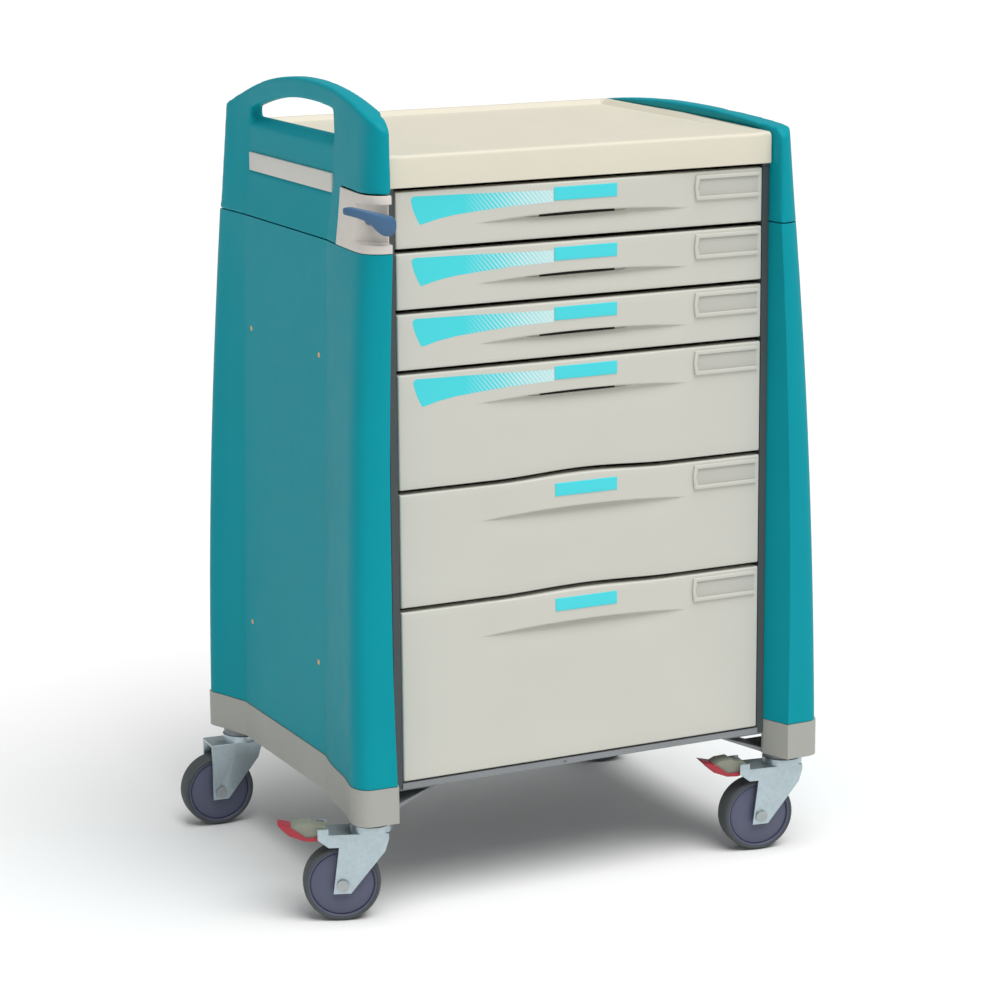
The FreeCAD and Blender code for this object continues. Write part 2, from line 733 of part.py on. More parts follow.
def arch_profile(side, peak, front_drop, rear_drop, shrink=0.0):
    """Solid below an arch that runs from the front pillar over to the rear one."""
    reach_x = 2 * value(CABINET_X)
    base = value(SEAM_Z) - size["panel_wall"]
    peak_z = value(WORKTOP_Z) + peak - shrink
    front_y, rear_y = -size["pillar_front"] / 4, size["cabinet_depth"] + size["pillar_rear"]
    nose_y = -size["pillar_front"]
    start = Vector(0, front_y, peak_z - front_drop)
    stop = Vector(0, rear_y, peak_z - rear_drop)
    top = Vector(0, size["peak_back"], peak_z)
    nose = Vector(0, nose_y, start.z - (front_y - nose_y))
    corners = [stop, Vector(0, rear_y, base), Vector(0, nose_y, base), nose, start]
    edges = [Part.Arc(start, top, stop).toShape()]
    edges += [Part.makeLine(first, second) for first, second in zip(corners, corners[1:])]
    face = Part.Face(Part.Wire(Part.__sortEdges__(edges)))
    return outward(face.extrude(Vector(side * reach_x, 0, 0)))


def upper_shell(side, peak, front_drop, rear_drop):
    """Upper moulding: a hollow foot below the worktop's rim, closed at its top."""
    wall, gap = size["panel_wall"], size["seam_gap"]
    low = value(SEAM_Z) + gap
    top = value(WORKTOP_Z) + peak + wall
    strip_top = value(WORKTOP_Z) - size["strip_low"]
    ceiling = value(WORKTOP_Z) + size["sill_height"] - 2 * wall
    levels = (low, strip_top, top)
    profile = arch_profile(side, peak, front_drop, rear_drop)
    solid = moulding(side, levels).common(profile)
    cavity = moulding(side, (low - wall, strip_top, top), grow=-wall, mouth=wall)
    room = mirrored_block(side, (0, -2 * size["pillar_front"], low - wall),
                          (2 * value(CABINET_X), 2 * size["cabinet_depth"], ceiling))
    rim_z = value(WORKTOP_Z) + size["worktop_height"] + size["rim_height"]
    near = value(CABINET_X) + size["panel_clear"]
    lip = mirrored_block(side, (near - size["lip_over"], size["rim_start"],
                                rim_z + size["fit_clear"]),
                         (near + wall, size["cabinet_depth"], top))
    return solid.cut(cavity.common(room)).fuse(lip.common(profile))


def hand_hole(side):
    """Through hole under the handle; its sill falls towards the outside."""
    near = value(CABINET_X) - 2 * size["lip_over"]
    far = value(CABINET_X) + 2 * size["corner_foot"]
    outer_sill = value(WORKTOP_Z) + size["sill_height"]
    inner_sill = outer_sill + size["sill_rise"]
    front, rear = size["recess_front"] + size["fit_clear"], size["recess_rear"]
    under = arch_profile(side, size["handle_peak"], size["handle_front_drop"],
                         size["handle_rear_drop"], shrink=size["grip_thick"])
    slot = mirrored_block(side, (near, front, inner_sill), (far, rear, inner_sill + 100))
    hole = slot.common(under)
    edge_x = value(CABINET_X) + size["panel_clear"]
    flat_x = value(CABINET_X) + size["recess_top"]
    wedge = Part.makePolygon([Vector(side * edge_x, front, inner_sill),
                              Vector(side * far, front, inner_sill),
                              Vector(side * far, front, outer_sill),
                              Vector(side * flat_x, front, outer_sill),
                              Vector(side * edge_x, front, inner_sill)])
    return hole.fuse(outward(Part.Face(wedge).extrude(Vector(0, rear - front, 0))))


def strip_box(side, clear):
    """Space of the strip in the recess of the upper panel."""
    face = value(CABINET_X) + size["recess_top"]
    top = value(WORKTOP_Z) - size["strip_low"] + size["strip_height"]
    edge = 2 * size["fit_clear"]
    return mirrored_block(side, (face - size["strip_thick"], size["recess_front"] + edge,
                                 top - size["strip_height"]),
                          (face + clear, size["recess_rear"] - edge, top))


def upper_panels():
    """Push-handle panel on the left, cut away for the lock; low arch on the right."""
    left = upper_shell(-1, size["handle_peak"], size["handle_front_drop"],
                       size["handle_rear_drop"])
    left = left.cut(hand_hole(-1))
    pad = size["panel_wall"]
    seat = strip_box(-1, 0.0)
    back = block((seat.BoundBox.XMin, seat.BoundBox.YMin - pad, seat.BoundBox.ZMin - pad),
                 (seat.BoundBox.XMax + pad, seat.BoundBox.YMax + pad,
                  seat.BoundBox.ZMax + pad))
    skin = moulding(-1, (value(SEAM_Z) + size["seam_gap"],
                         value(WORKTOP_Z) - size["strip_low"],
                         value(WORKTOP_Z) + size["handle_peak"]))
    left = left.fuse(back.common(skin)).cut(strip_box(-1, size["corner_foot"]))
    gap = size["seam_gap"]
    notch = block((-2 * value(CABINET_X), -2 * size["pillar_front"], 0),
                  (0, size["housing_rear"] + gap, value(BANK_TOP) + gap))
    feature("upper_panel_left", left.cut(notch))
    right = upper_shell(1, size["arch_peak"], size["arch_front_drop"],
                        size["arch_rear_drop"])
    feature("upper_panel_right", right)


def side_strip():
    """Plain strip that fills the groove below the handle."""
    seat = strip_box(-1, size["fit_clear"]).BoundBox
    clear = size["fit_clear"]
    strip = block((seat.XMin, seat.YMin + clear, seat.ZMin + clear),
                  (seat.XMax - clear, seat.YMax - clear, seat.ZMax - clear))
    feature("side_strip", strip)


# ---------------------------------------------------------------- drawer lock
def lock_housing():
    """Corner moulding with a scooped pocket that the lever swings in."""
    wall = size["panel_wall"]
    low, high = value(SEAM_Z) + size["seam_gap"], value(BANK_TOP)
    levels = (low, (low + high) / 2, high)
    skin = moulding(-1, levels)
    cavity = moulding(-1, (low - wall, (low + high) / 2, high + wall), grow=-wall, mouth=wall)
    near = -(value(CABINET_X) + size["crest_seam"])
    front, rear = -size["pocket_floor"], size["pocket_rear"]
    outer = -(value(CABINET_X) + size["corner_seam"])
    shelf = size["pocket_shelf"]

    def pocket(inset, low_z, high_z):
        far = 2 * size["corner_foot"]
        corners = [Vector(near + far, front + inset, low_z),
                   Vector(near, front + inset, low_z),
                   Vector(outer, rear + inset, low_z),
                   Vector(outer - far, rear + inset, low_z),
                   Vector(outer - far, -far, low_z), Vector(near + far, -far, low_z)]
        face = Part.Face(Part.makePolygon(corners + corners[:1]))
        return outward(face.extrude(Vector(0, 0, high_z - low_z)))

    opening = pocket(0, low + shelf, high - shelf)
    liner = pocket(wall, low + shelf - wall, high - shelf + wall).common(skin)
    shell = skin.cut(cavity).fuse(liner).cut(opening)
    ahead = block((2 * outer, -far_front(), low - wall), (0, size["housing_rear"], high + wall))
    spindle = Part.makeCylinder(size["spindle_radius"] + size["spindle_clear"],
                                2 * size["housing_rear"],
                                lever_pivot() - Vector(0, size["housing_rear"], 0),
                                Vector(0, 1, 0))
    feature("lock_housing", shell.common(ahead).cut(spindle))


def far_front():
    return 2 * size["pillar_front"]


def lever_pivot():
    return Vector(-(value(CABINET_X) + size["lever_x"]), 0,
                  value(BANK_TOP) - size["lever_drop"])


def lock_lever():
    """Lever curved around the pillar's corner, on a spindle that enters the housing."""
    body = new_body("lock_lever")
    back = "(lever_thick - lever_front)"
    plan = [("hub_radius", "-lever_front"), ("hub_radius", back),
            ("-hub_radius", back), ("-lever_length + 2", "-lever_tip + lever_thick / 2"),
            ("-lever_length - 2", "-lever_tip"),
            ("-lever_length / 2", "-lever_front + 4"), ("-hub_radius / 2", "-lever_front")]
    arm = outline(body, "XY_Plane", "lever_plan", plan)
    extrude(body, "Pad", arm, "2 * hub_radius", midplane=True)
    for name, sign in (("over", 1), ("under", -1)):
        far = "%d * 2 * hub_radius" % sign
        taper = [("-lever_length - 4", "%d * lever_tip / 2" % sign),
                 ("-hub_radius / 2", "%d * hub_radius * 0.93" % sign),
                 ("-hub_radius / 2", far), ("-lever_length - 4", far)]
        side = outline(body, "XZ_Plane", "lever_" + name, taper)
        extrude(body, "Pocket", side, "4 * lever_front", midplane=True)
    pin = disc(body, "XZ_Plane", "spindle_end", ("0", "0"), "spindle_radius",
               offset="-" + back)
    extrude(body, "Pad", pin, "lever_front + pocket_rear", flip=True)
    body.Placement = FreeCAD.Placement(
        lever_pivot(), FreeCAD.Rotation(Vector(0, 1, 0), size["lever_angle"]))


def lock_bar():
    """Upright bar in the left pillar; its hooks catch the drawers when it is lifted."""
    low = SKIRT_TOP
    length = "%s - lever_drop - hub_radius - %s" % (BANK_TOP, low)
    outer = "(%s + bar_side + bar_thick)" % CABINET_X
    shapes = [box("bar_strip", ("-" + outer, "bar_front", low),
                  ("bar_thick", "bar_width", length))]
    for number in DRAWERS:
        shapes.append(box("bar_hook_%d" % number,
                          ("bar_thick - " + outer, "bar_front", runner_low(number)),
                          ("hook_reach", "bar_width", "hook_height")))
    keep(fuse("lock_bar", shapes), "lock_bar")


# ---------------------------------------------------------------- casters
def caster_frame(name, side, y_name, turn):
    """Placement of a caster, drawn with its swivel axis on Z and trailing towards -X."""
    axis = Vector(side * value(CABINET_X + " + caster_x"), size[y_name], 0)
    return FreeCAD.Placement(axis, FreeCAD.Rotation(Z_AXIS, turn))


def stand(body, frame, offset=Vector(0, 0, 0)):
    body.Placement = frame.multiply(FreeCAD.Placement(offset, FreeCAD.Rotation()))
    return body


def caster_fork(name, frame, braked):
    """Pressed fork with a raised bearing head; a braked fork has ears for the pedal."""
    label = "caster_fork_" + name
    body = new_body(label)
    low = "wheel_radius - leg_low"
    side = [("head_front", "fork_top"), ("-trail - leg_back", "fork_top"),
            ("-trail - leg_back", low), ("-trail + leg_front", low),
            ("head_front - 5", "fork_top - head_chamfer"), ("head_front", "fork_top - 8")]
    if braked:
        ear_x, ear_z = "(-pivot_x)", "pivot_z"
        side[1:2] = [(ear_x + " + ear_radius", "fork_top"),
                     (ear_x + " + ear_radius", ear_z + " + ear_radius"),
                     (ear_x + " - ear_radius", ear_z + " + ear_radius"),
                     (ear_x + " - ear_radius", ear_z + " - ear_radius"),
                     (ear_x + " + ear_radius", "fork_top - ear_drop"),
                     ("-trail - leg_top", "fork_top - ear_drop")]
    sketch = outline(body, "XZ_Plane", label + "_side", side)
    extrude(body, "Pad", sketch, "fork_inner + 2 * fork_wall", midplane=True)
    roof = "fork_top - fork_wall"
    far = "2 * pivot_x"
    gap = [("-" + far, "0"), (far, "0"), (far, roof)]
    if braked:
        gap += [("ear_radius - pivot_x", roof), ("ear_radius - pivot_x", "2 * fork_top"),
                ("-" + far, "2 * fork_top")]
    else:
        gap += [("-" + far, roof)]
    inside = outline(body, "XZ_Plane", label + "_gap", gap)
    extrude(body, "Pocket", inside, "fork_inner", midplane=True)
    head = disc(body, "XY_Plane", label + "_head", ("0", "0"), "head_radius",
                offset="fork_top")
    extrude(body, "Pad", head, "head_height")
    bore = disc(body, "XY_Plane", label + "_bore", ("0", "0"), "kingpin_radius + bore_clear",
                offset="fork_top + head_height")
    extrude(body, "Pocket", bore, "head_height + 2 * fork_wall")
    hole = disc(body, "XZ_Plane", label + "_hole", ("-trail", "wheel_radius"), "axle_radius")
    extrude(body, "Pocket", hole, "2 * fork_inner", midplane=True)
    if braked:
        pin = disc(body, "XZ_Plane", label + "_pin", ("-pivot_x", "pivot_z"), "pivot_radius")
        extrude(body, "Pad", pin, "fork_inner + 2 * fork_wall", midplane=True)
    stand(body, frame)


def wheel_pieces(name, frame):
    """Axle with two heads, hub and tread, all turned about the wheel's own axis."""
    centre = Vector(-size["trail"], 0, size["wheel_radius"])

    axle = new_body("wheel_axle_" + name)
    inner = "(fork_inner / 2 + fork_wall)"
    outer = "(%s + axle_head_height)" % inner
    half = [("-" + outer, "0"), (outer, "0"), (outer, "axle_head"), (inner, "axle_head"),
            (inner, "axle_radius"), ("-" + inner, "axle_radius"), ("-" + inner, "axle_head"),
            ("-" + outer, "axle_head")]
    revolve(axle, outline(axle, "YZ_Plane", "axle_half_" + name, half))
    stand(axle, frame, centre)

    hub = new_body("wheel_hub_" + name)
    face, bore = "(hub_width / 2)", "axle_radius + bore_clear"
    rim = "wheel_radius - tread_thick"
    half = [("-" + face, bore), (face, bore), (face, "groove_radius - 0.6"),
            (face + " - 2", "groove_radius - 0.6"), (face + " - 2", "groove_radius + 0.6"),
            (face, "groove_radius + 0.6"), (face, rim), ("-" + face, rim),
            ("-" + face, "groove_radius + 0.6"), ("2 - " + face, "groove_radius + 0.6"),
            ("2 - " + face, "groove_radius - 0.6"), ("-" + face, "groove_radius - 0.6")]
    revolve(hub, outline(hub, "YZ_Plane", "hub_half_" + name, half))
    stand(hub, frame, centre)

    tyre = new_body("wheel_tyre_" + name)
    wide = "(tyre_width / 2)"
    half = [("-" + face, rim), (face, rim), (wide, rim + " + 0.5"),
            (wide, "wheel_radius - 2"), (wide + " - 2.5", "wheel_radius"),
            ("2.5 - " + wide, "wheel_radius"), ("-" + wide, "wheel_radius - 2"),
            ("-" + wide, rim + " + 0.5")]
    revolve(tyre, outline(tyre, "YZ_Plane", "tyre_half_" + name, half))
    stand(tyre, frame, centre)


def brake_pedal(name, frame):
    """Tread plate and release block, one above the other, on the fork's cross pin."""
    block_side = [("-40", "8"), ("-29", "0"), ("-22", "-6"), ("-9", "-5.6"), ("5", "-5"),
                  ("5", "6"), ("-10", "9"), ("-16", "13"), ("-32", "12")]
    plate_side = [("-57", "12"), ("-43", "-2"), ("-23", "-10"), ("-8", "-11"), ("4", "-8"),
                  ("5", "-5"), ("-9", "-5.6"), ("-22", "-6"), ("-29", "0"), ("-40", "8")]
    pieces = []
    for part, points, width in (("plate", plate_side, "pedal_width"),
                                ("block", block_side, "pedal_width - 4")):
        body = doc.addObject("PartDesign::Body", "pedal_%s_%s" % (part, name))
        sketch = outline(body, "XZ_Plane", "pedal_%s_side_%s" % (part, name), points)
        extrude(body, "Pad", sketch, width, midplane=True)
        if part == "block":
            hole = disc(body, "XZ_Plane", "pedal_bore_" + name, ("0", "0"),
                        "pivot_radius + bore_clear")
            extrude(body, "Pocket", hole, "2 * pedal_width", midplane=True)
        pieces.append(body)
    pedal = group("brake_pedal_" + name, pieces)
    stand(pedal, frame, Vector(-size["pivot_x"], 0, size["pivot_z"]))


def caster_mounts():
    """Foot brackets between cabinet and casters, each with its kingpin and upper race."""
    mounts = []
    for name, side, y_name, _ in CASTERS:
        body = doc.addObject("PartDesign::Body", "foot_bracket_" + name)
        inner, outer = CABINET_X + " - 68", "(%s + 38)" % CABINET_X
        middle = "%s + fit_clear + bracket_depth / 2" % MOUTH_FRONT
        if y_name == "caster_rear":
            middle = "%s - fit_clear - bracket_depth / 2" % MOUTH_REAR
        toe = CABINET_X + " + 2"
        frame = [(inner, BASE_Z), (toe, "caster_height"), (outer, "caster_height"),
                 (outer, BASE_Z)]
        wall = "bracket_wall"
        hollow = [(inner + " + 4 * " + wall, BASE_Z + " - " + wall),
                  (toe + " + " + wall, "caster_height + " + wall),
                  (outer + " - " + wall, "caster_height + " + wall),
                  (outer + " - " + wall, BASE_Z + " - " + wall)]
        for part, kind, points in (("frame", "Pad", frame), ("hollow", "Pocket", hollow)):
            points = [("%d * (%s)" % (side, x), z) for x, z in points]
            sketch = outline(body, "XZ_Plane", "bracket_%s_%s" % (part, name), points,
                             offset="%s - (%s)" % (y_name, middle))
            extrude(body, kind, sketch, "2 * bracket_depth" if kind == "Pocket"
                    else "bracket_depth", midplane=True)
        axis = "%d * (%s + caster_x)" % (side, CABINET_X)
        race_z = "fork_top + head_height + head_gap"
        race = disc(body, "XY_Plane", "bracket_race_" + name, (axis, "0"),
                    "head_radius - 2", offset=race_z)
        extrude(body, "Pad", race, "caster_height - (%s)" % race_z)
        pin = disc(body, "XY_Plane", "bracket_pin_" + name, (axis, "0"), "kingpin_radius",
                   offset="fork_top - 2 * fork_wall")
        extrude(body, "Pad", pin, "caster_height - fork_top + 2 * fork_wall")
        body.Placement = FreeCAD.Placement(Vector(0, size[y_name], 0), FreeCAD.Rotation())
        mounts.append(body)
    group("caster_mounts", mounts)


# ---------------------------------------------------------------- the whole cart
cabinet_side("cabinet_side_left", -1)
cabinet_side("cabinet_side_right", 1)
cabinet_back()
cabinet_base()
slide_channels()
worktop()
for drawer in DRAWERS:
    drawer_front(drawer)
    pull_badge(drawer)
    drawer_tray(drawer)
    drawer_runners(drawer)
lower_panel("lower_panel_left", -1)
lower_panel("lower_panel_right", 1)
panel_screws()
skirt("skirt_left", -1)
skirt("skirt_right", 1)
upper_panels()
side_strip()
lock_housing()
lock_lever()
lock_bar()
for name, side, y_name, turn in CASTERS:
    caster = caster_frame(name, side, y_name, turn)
    braked = y_name == "caster_front"
    caster_fork(name, caster, braked)
    wheel_pieces(name, caster)
    if braked:
        brake_pedal(name, caster)
caster_mounts()
doc.recompute()

bounds = [part.Shape.optimalBoundingBox(True, False) for part in sub_parts]
shift = Vector(-(min(b.XMin for b in bounds) + max(b.XMax for b in bounds)) / 2,
               -(min(b.YMin for b in bounds) + max(b.YMax for b in bounds)) / 2, 0)
for part in sub_parts:
    moved = part.Placement
    moved.Base = moved.Base + shift
    part.Placement = moved
doc.recompute()

for obj in doc.Objects:
    if "Invalid" in obj.State or "Error" in obj.State:
        raise RuntimeError("%s failed: %s" % (obj.Label, obj.State))
for part in sub_parts:
    if part.Shape.isNull() or not part.Shape.isValid() or not part.Shape.Solids:
        raise RuntimeError("%s has no valid shape" % part.Label)
for part in sub_parts:
    part.Shape.exportStep("parts/%s.step" % part.Label)
print("%d sub-parts, layout moved by (%.3f, %.3f) mm" % (len(sub_parts), shift.x, shift.y))
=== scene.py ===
"""Looks of the crash cart: moulded panels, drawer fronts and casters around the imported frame.

Places are given in millimetres from the middle of the cabinet, the plane of the drawer fronts
and the floor, and at() turns them into the frame. What goes straight into a node, a modifier
or an operator is in metres, as Blender takes it.
"""
import math

import bmesh
import bpy
from mathutils import Matrix, Vector


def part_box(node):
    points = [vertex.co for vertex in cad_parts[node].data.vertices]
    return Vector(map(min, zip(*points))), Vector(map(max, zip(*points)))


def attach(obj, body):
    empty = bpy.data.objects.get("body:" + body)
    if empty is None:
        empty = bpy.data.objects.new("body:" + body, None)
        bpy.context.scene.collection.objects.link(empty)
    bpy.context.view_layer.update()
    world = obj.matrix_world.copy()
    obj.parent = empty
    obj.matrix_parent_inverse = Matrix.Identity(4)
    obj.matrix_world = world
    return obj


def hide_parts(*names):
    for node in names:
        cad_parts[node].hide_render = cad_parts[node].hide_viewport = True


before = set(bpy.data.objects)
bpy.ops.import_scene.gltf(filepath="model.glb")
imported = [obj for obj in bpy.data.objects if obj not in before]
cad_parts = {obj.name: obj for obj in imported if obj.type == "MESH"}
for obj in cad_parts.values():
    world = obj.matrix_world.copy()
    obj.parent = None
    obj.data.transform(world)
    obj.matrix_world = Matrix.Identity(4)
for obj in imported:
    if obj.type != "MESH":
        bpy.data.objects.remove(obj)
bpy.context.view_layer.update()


# ---------------------------------------------------------------- studio
# A pale painted floor that runs to the horizon, an overcast sky for walls, and one broad
# soft lamp high in front, a little to the right of the cart.
def linear(hex_colour):
    """An sRGB hex colour as the linear colour that a shader takes."""
    parts = [int(hex_colour[i:i + 2], 16) / 255 for i in (1, 3, 5)]
    return [p / 12.92 if p <= 0.04045 else ((p + 0.055) / 1.055) ** 2.4 for p in parts] + [1.0]


def add(tree, kind, sockets=None, **settings):
    """Adds a node, with its settings, and links or sets its sockets."""
    made = tree.nodes.new(kind)
    for name, what in settings.items():
        setattr(made, name, what)
    for name, what in (sockets or {}).items():
        if isinstance(what, bpy.types.NodeSocket):
            tree.links.new(what, made.inputs[name])
        else:
            made.inputs[name].default_value = what
    return made


def finish(name):
    """A new material, its node tree and its shader."""
    made = bpy.data.materials.new(name)
    made.use_nodes = True
    return made, made.node_tree, made.node_tree.nodes["Principled BSDF"]


scene = bpy.context.scene
scene.view_settings.view_transform = "Standard"
world = bpy.data.worlds.new("overcast_sky")
scene.world = world
world.use_nodes = True
world.node_tree.nodes["Background"].inputs["Color"].default_value = linear("#fafbfc")
world.node_tree.nodes["Background"].inputs["Strength"].default_value = 0.38

bpy.ops.object.select_all(action="DESELECT")
bpy.ops.mesh.primitive_plane_add(size=120)
floor = bpy.context.object
floor.name = "studio_floor"
floor_paint, tree, shader = finish("painted_studio_floor")
shader.inputs["Base Color"].default_value = linear("#f3f3f2")
shader.inputs["Roughness"].default_value = 0.9
shader.inputs["Specular IOR Level"].default_value = 0.1
floor.data.materials.append(floor_paint)

lamp = bpy.data.lights.new("soft_key", "SUN")
lamp.energy = 2.85
lamp.angle = math.radians(50)
lamp_object = bpy.data.objects.new("soft_key", lamp)
scene.collection.objects.link(lamp_object)
lamp_object.rotation_euler = (math.radians(24), 0, math.radians(14))

camera_data = bpy.data.cameras.new("view")
camera = bpy.data.objects.new("view", camera_data)
scene.collection.objects.link(camera)
camera_data.sensor_width = 36.0
camera_data.lens = 113.368
camera_data.clip_end = 90.0
camera.location = (-1.8097, -3.7295, 1.4206)
turn = Matrix.Rotation(math.radians(-26.254), 4, "Z")
tilt = Matrix.Rotation(math.radians(90 - 12.837), 4, "X")
roll = Matrix.Rotation(-0.0079, 4, "Z")
camera.rotation_euler = (turn @ tilt @ roll).to_euler()
scene.camera = camera


# ---------------------------------------------------------------- cabinet
# Folded steel side sheets with hollow front posts, a back sheet and a pan, all powder coated:
# a dull, faintly pebbled dark grey that shows as strips beside the drawers.
top_low, top_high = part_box("worktop")
MIDDLE_X = (top_low.x + top_high.x) / 2
OVERHANG = 0.004                    # metres of worktop beyond the drawer fronts
FACE_Y = top_low.y + OVERHANG


def at(x, y, z):
    """A place on the drawing, in millimetres, as a point of the frame."""
    return Vector((MIDDLE_X + x / 1000, FACE_Y + y / 1000, z / 1000))


def tinted(tree, drift, colour, dark, light):
    """The colour as it drifts between a darker and a lighter tone of itself."""
    base = linear(colour)[:3]
    shade = add(tree, "ShaderNodeMix", {"Factor": drift}, data_type="RGBA")
    shade.inputs["A"].default_value = [c * dark for c in base] + [1]
    shade.inputs["B"].default_value = [min(1, c * light) for c in base] + [1]
    return shade.outputs["Result"]


def wire(tree, shader, colour, rough, bump):
    """Joins a surface's colour, roughness and bump to its shader."""
    tree.links.new(colour, shader.inputs["Base Color"])
    tree.links.new(rough.outputs["Result"], shader.inputs["Roughness"])
    tree.links.new(bump.outputs["Normal"], shader.inputs["Normal"])


def powder_coat(name, colour, speck=0.5):
    """Powder coat on steel: pebbled every 1.6 mm, with a faint cloudiness over a hand's width."""
    made, tree, shader = finish(name)
    place = add(tree, "ShaderNodeTexCoord").outputs["Object"]
    cloud = add(tree, "ShaderNodeTexNoise", {"Vector": place, "Scale": 1 / 0.09, "Detail": 4})
    pebble = add(tree, "ShaderNodeTexNoise", {"Vector": place, "Scale": 1 / 0.0016, "Detail": 2})
    bump = add(tree, "ShaderNodeBump", {"Height": pebble.outputs["Fac"], "Strength": speck,
                                        "Distance": 0.00008})
    rough = add(tree, "ShaderNodeMapRange", {"Value": cloud.outputs["Fac"],
                                             "To Min": 0.42, "To Max": 0.58})
    wire(tree, shader, tinted(tree, cloud.outputs["Fac"], colour, 0.86, 1.12), rough, bump)
    return made


def dress(node, material):
    """Gives a CAD node that stays its finish."""
    node_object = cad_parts[node]
    node_object.data.materials.clear()
    node_object.data.materials.append(material)


dark_coat = powder_coat("powder_coated_steel_dark", "#43494b")
base_coat = powder_coat("powder_coated_steel_grey", "#83878a")
for node in ("cabinet_side_left", "cabinet_side_right", "cabinet_back"):
    dress(node, dark_coat)
for node in ("cabinet_base", "caster_mounts"):
    dress(node, base_coat)


# ---------------------------------------------------------------- slides and trays
# Roll-formed zinc-plated slide members, and deep trays folded from pale coated sheet that
# hang between them.
def plated_steel(name, colour, rough=0.34):
    """Bright zinc plate: grey metal with a soft crystalline cloud."""
    made, tree, shader = finish(name)
    place = add(tree, "ShaderNodeTexCoord").outputs["Object"]
    spangle = add(tree, "ShaderNodeTexVoronoi", {"Vector": place, "Scale": 1 / 0.006})
    cloud = add(tree, "ShaderNodeTexNoise", {"Vector": place, "Scale": 1 / 0.025, "Detail": 5})
    blend = add(tree, "ShaderNodeMix", {"Factor": 0.35, "A": cloud.outputs["Fac"],
                                        "B": spangle.outputs["Distance"]})
    spread = add(tree, "ShaderNodeMapRange", {"Value": cloud.outputs["Fac"],
                                              "To Min": rough - 0.08, "To Max": rough + 0.12})
    bump = add(tree, "ShaderNodeBump", {"Height": cloud.outputs["Fac"], "Strength": 0.25,
                                        "Distance": 0.0002})
    wire(tree, shader, tinted(tree, blend.outputs["Result"], colour, 0.80, 1.15), spread, bump)
    shader.inputs["Metallic"].default_value = 0.85
    return made


slide_zinc = plated_steel("zinc_plated_slide_steel", "#aab0b2")
tray_coat = powder_coat("powder_coated_tray_sheet", "#cbcac4", speck=0.35)
dress("slide_channels", slide_zinc)
for drawer in range(1, 7):
    dress("drawer_runners_%d" % drawer, slide_zinc)
    dress("drawer_tray_%d" % drawer, tray_coat)


# ---------------------------------------------------------------- worktop
# One vacuum-formed cream sheet with a raised rim at its sides and back. The rim has a sloped
# inner face and sinks to nothing at the front, where the sheet rolls over into the apron.
def moulded_plastic(name, colour, rough=0.42, mottle=0.05, gloss=0.4):
    """Moulded plastic: a spark-eroded grain of about 1 mm, drawn as coarse as it needs to be
    to show, a slightly uneven gloss, and a faint drift of colour over a palm's width."""
    made, tree, shader = finish(name)
    place = add(tree, "ShaderNodeTexCoord").outputs["Object"]
    drift = add(tree, "ShaderNodeTexNoise", {"Vector": place, "Scale": 1 / 0.12, "Detail": 3})
    skin = add(tree, "ShaderNodeTexNoise", {"Vector": place, "Scale": 1 / 0.0011, "Detail": 2})
    bump = add(tree, "ShaderNodeBump", {"Height": skin.outputs["Fac"], "Strength": 0.5,
                                        "Distance": 0.00005})
    wear = add(tree, "ShaderNodeTexNoise", {"Vector": place, "Scale": 1 / 0.03, "Detail": 6})
    spread = add(tree, "ShaderNodeMapRange", {"Value": wear.outputs["Fac"],
                                              "To Min": rough - 0.06, "To Max": rough + 0.08})
    colour_drift = tinted(tree, drift.outputs["Fac"], colour, 1 - mottle, 1 + mottle)
    wire(tree, shader, colour_drift, spread, bump)
    shader.inputs["Specular IOR Level"].default_value = gloss
    return made


def grid_piece(name, across, along, spot):
    """A grid primitive whose points are pushed to their places; left in edit mode."""
    bpy.ops.object.select_all(action="DESELECT")
    bpy.ops.mesh.primitive_grid_add(x_subdivisions=across, y_subdivisions=along, size=1)
    made = bpy.context.object
    made.name = made.data.name = name
    for vertex in made.data.vertices:
        column = round((vertex.co.x + 0.5) * across)
        row = round((vertex.co.y + 0.5) * along)
        vertex.co = spot(column, row)
    bpy.ops.object.mode_set(mode="EDIT")
    return made


def pick(made, chosen, kind="FACE"):
    """Selects, in edit mode, the faces, edges or points that the test accepts."""
    bpy.ops.mesh.select_mode(type=kind)
    bpy.ops.mesh.select_all(action="DESELECT")
    mesh = bmesh.from_edit_mesh(made.data)
    items = {"FACE": mesh.faces, "EDGE": mesh.edges, "VERT": mesh.verts}[kind]
    for item in items:
        item.select = bool(chosen(item))
    mesh.select_flush_mode()
    bmesh.update_edit_mesh(made.data)


def settle(made, body, slot, *nodes, material=None, angle=32):
    """Ends edit mode, points the faces outwards, smooths, dresses and mounts the piece."""
    if bpy.context.mode == "EDIT_MESH":
        bpy.ops.mesh.select_all(action="SELECT")
        bpy.ops.mesh.normals_make_consistent(inside=False)
        bpy.ops.object.mode_set(mode="OBJECT")
    bpy.ops.object.select_all(action="DESELECT")
    made.select_set(True)
    bpy.context.view_layer.objects.active = made
    bpy.ops.object.shade_smooth_by_angle(angle=math.radians(angle))
    if material:
        made.data.materials.clear()
        made.data.materials.append(material)
    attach(made, body)
    if nodes:
        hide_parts(*nodes)
    return made


QUARTER = [0.0, 0.076, 0.293, 0.617, 1.0]    # shares of a radius that divide a rounded edge


def rounded_ends(low, high, radius, step):
    """Places from low to high about a step apart, closer together at both rounded ends."""
    count = max(1, round((high - low - 2 * radius) / step))
    run = [low + radius + (high - low - 2 * radius) * i / count for i in range(1, count)]
    return ([low + radius * share for share in QUARTER] + run
            + [high - radius * share for share in reversed(QUARTER)])


def roll_off(gap, radius):
    """How far a rounded edge has dropped at this distance from the end."""
    short = min(radius, max(0.0, radius - gap))
    return radius - math.sqrt(radius ** 2 - short ** 2)


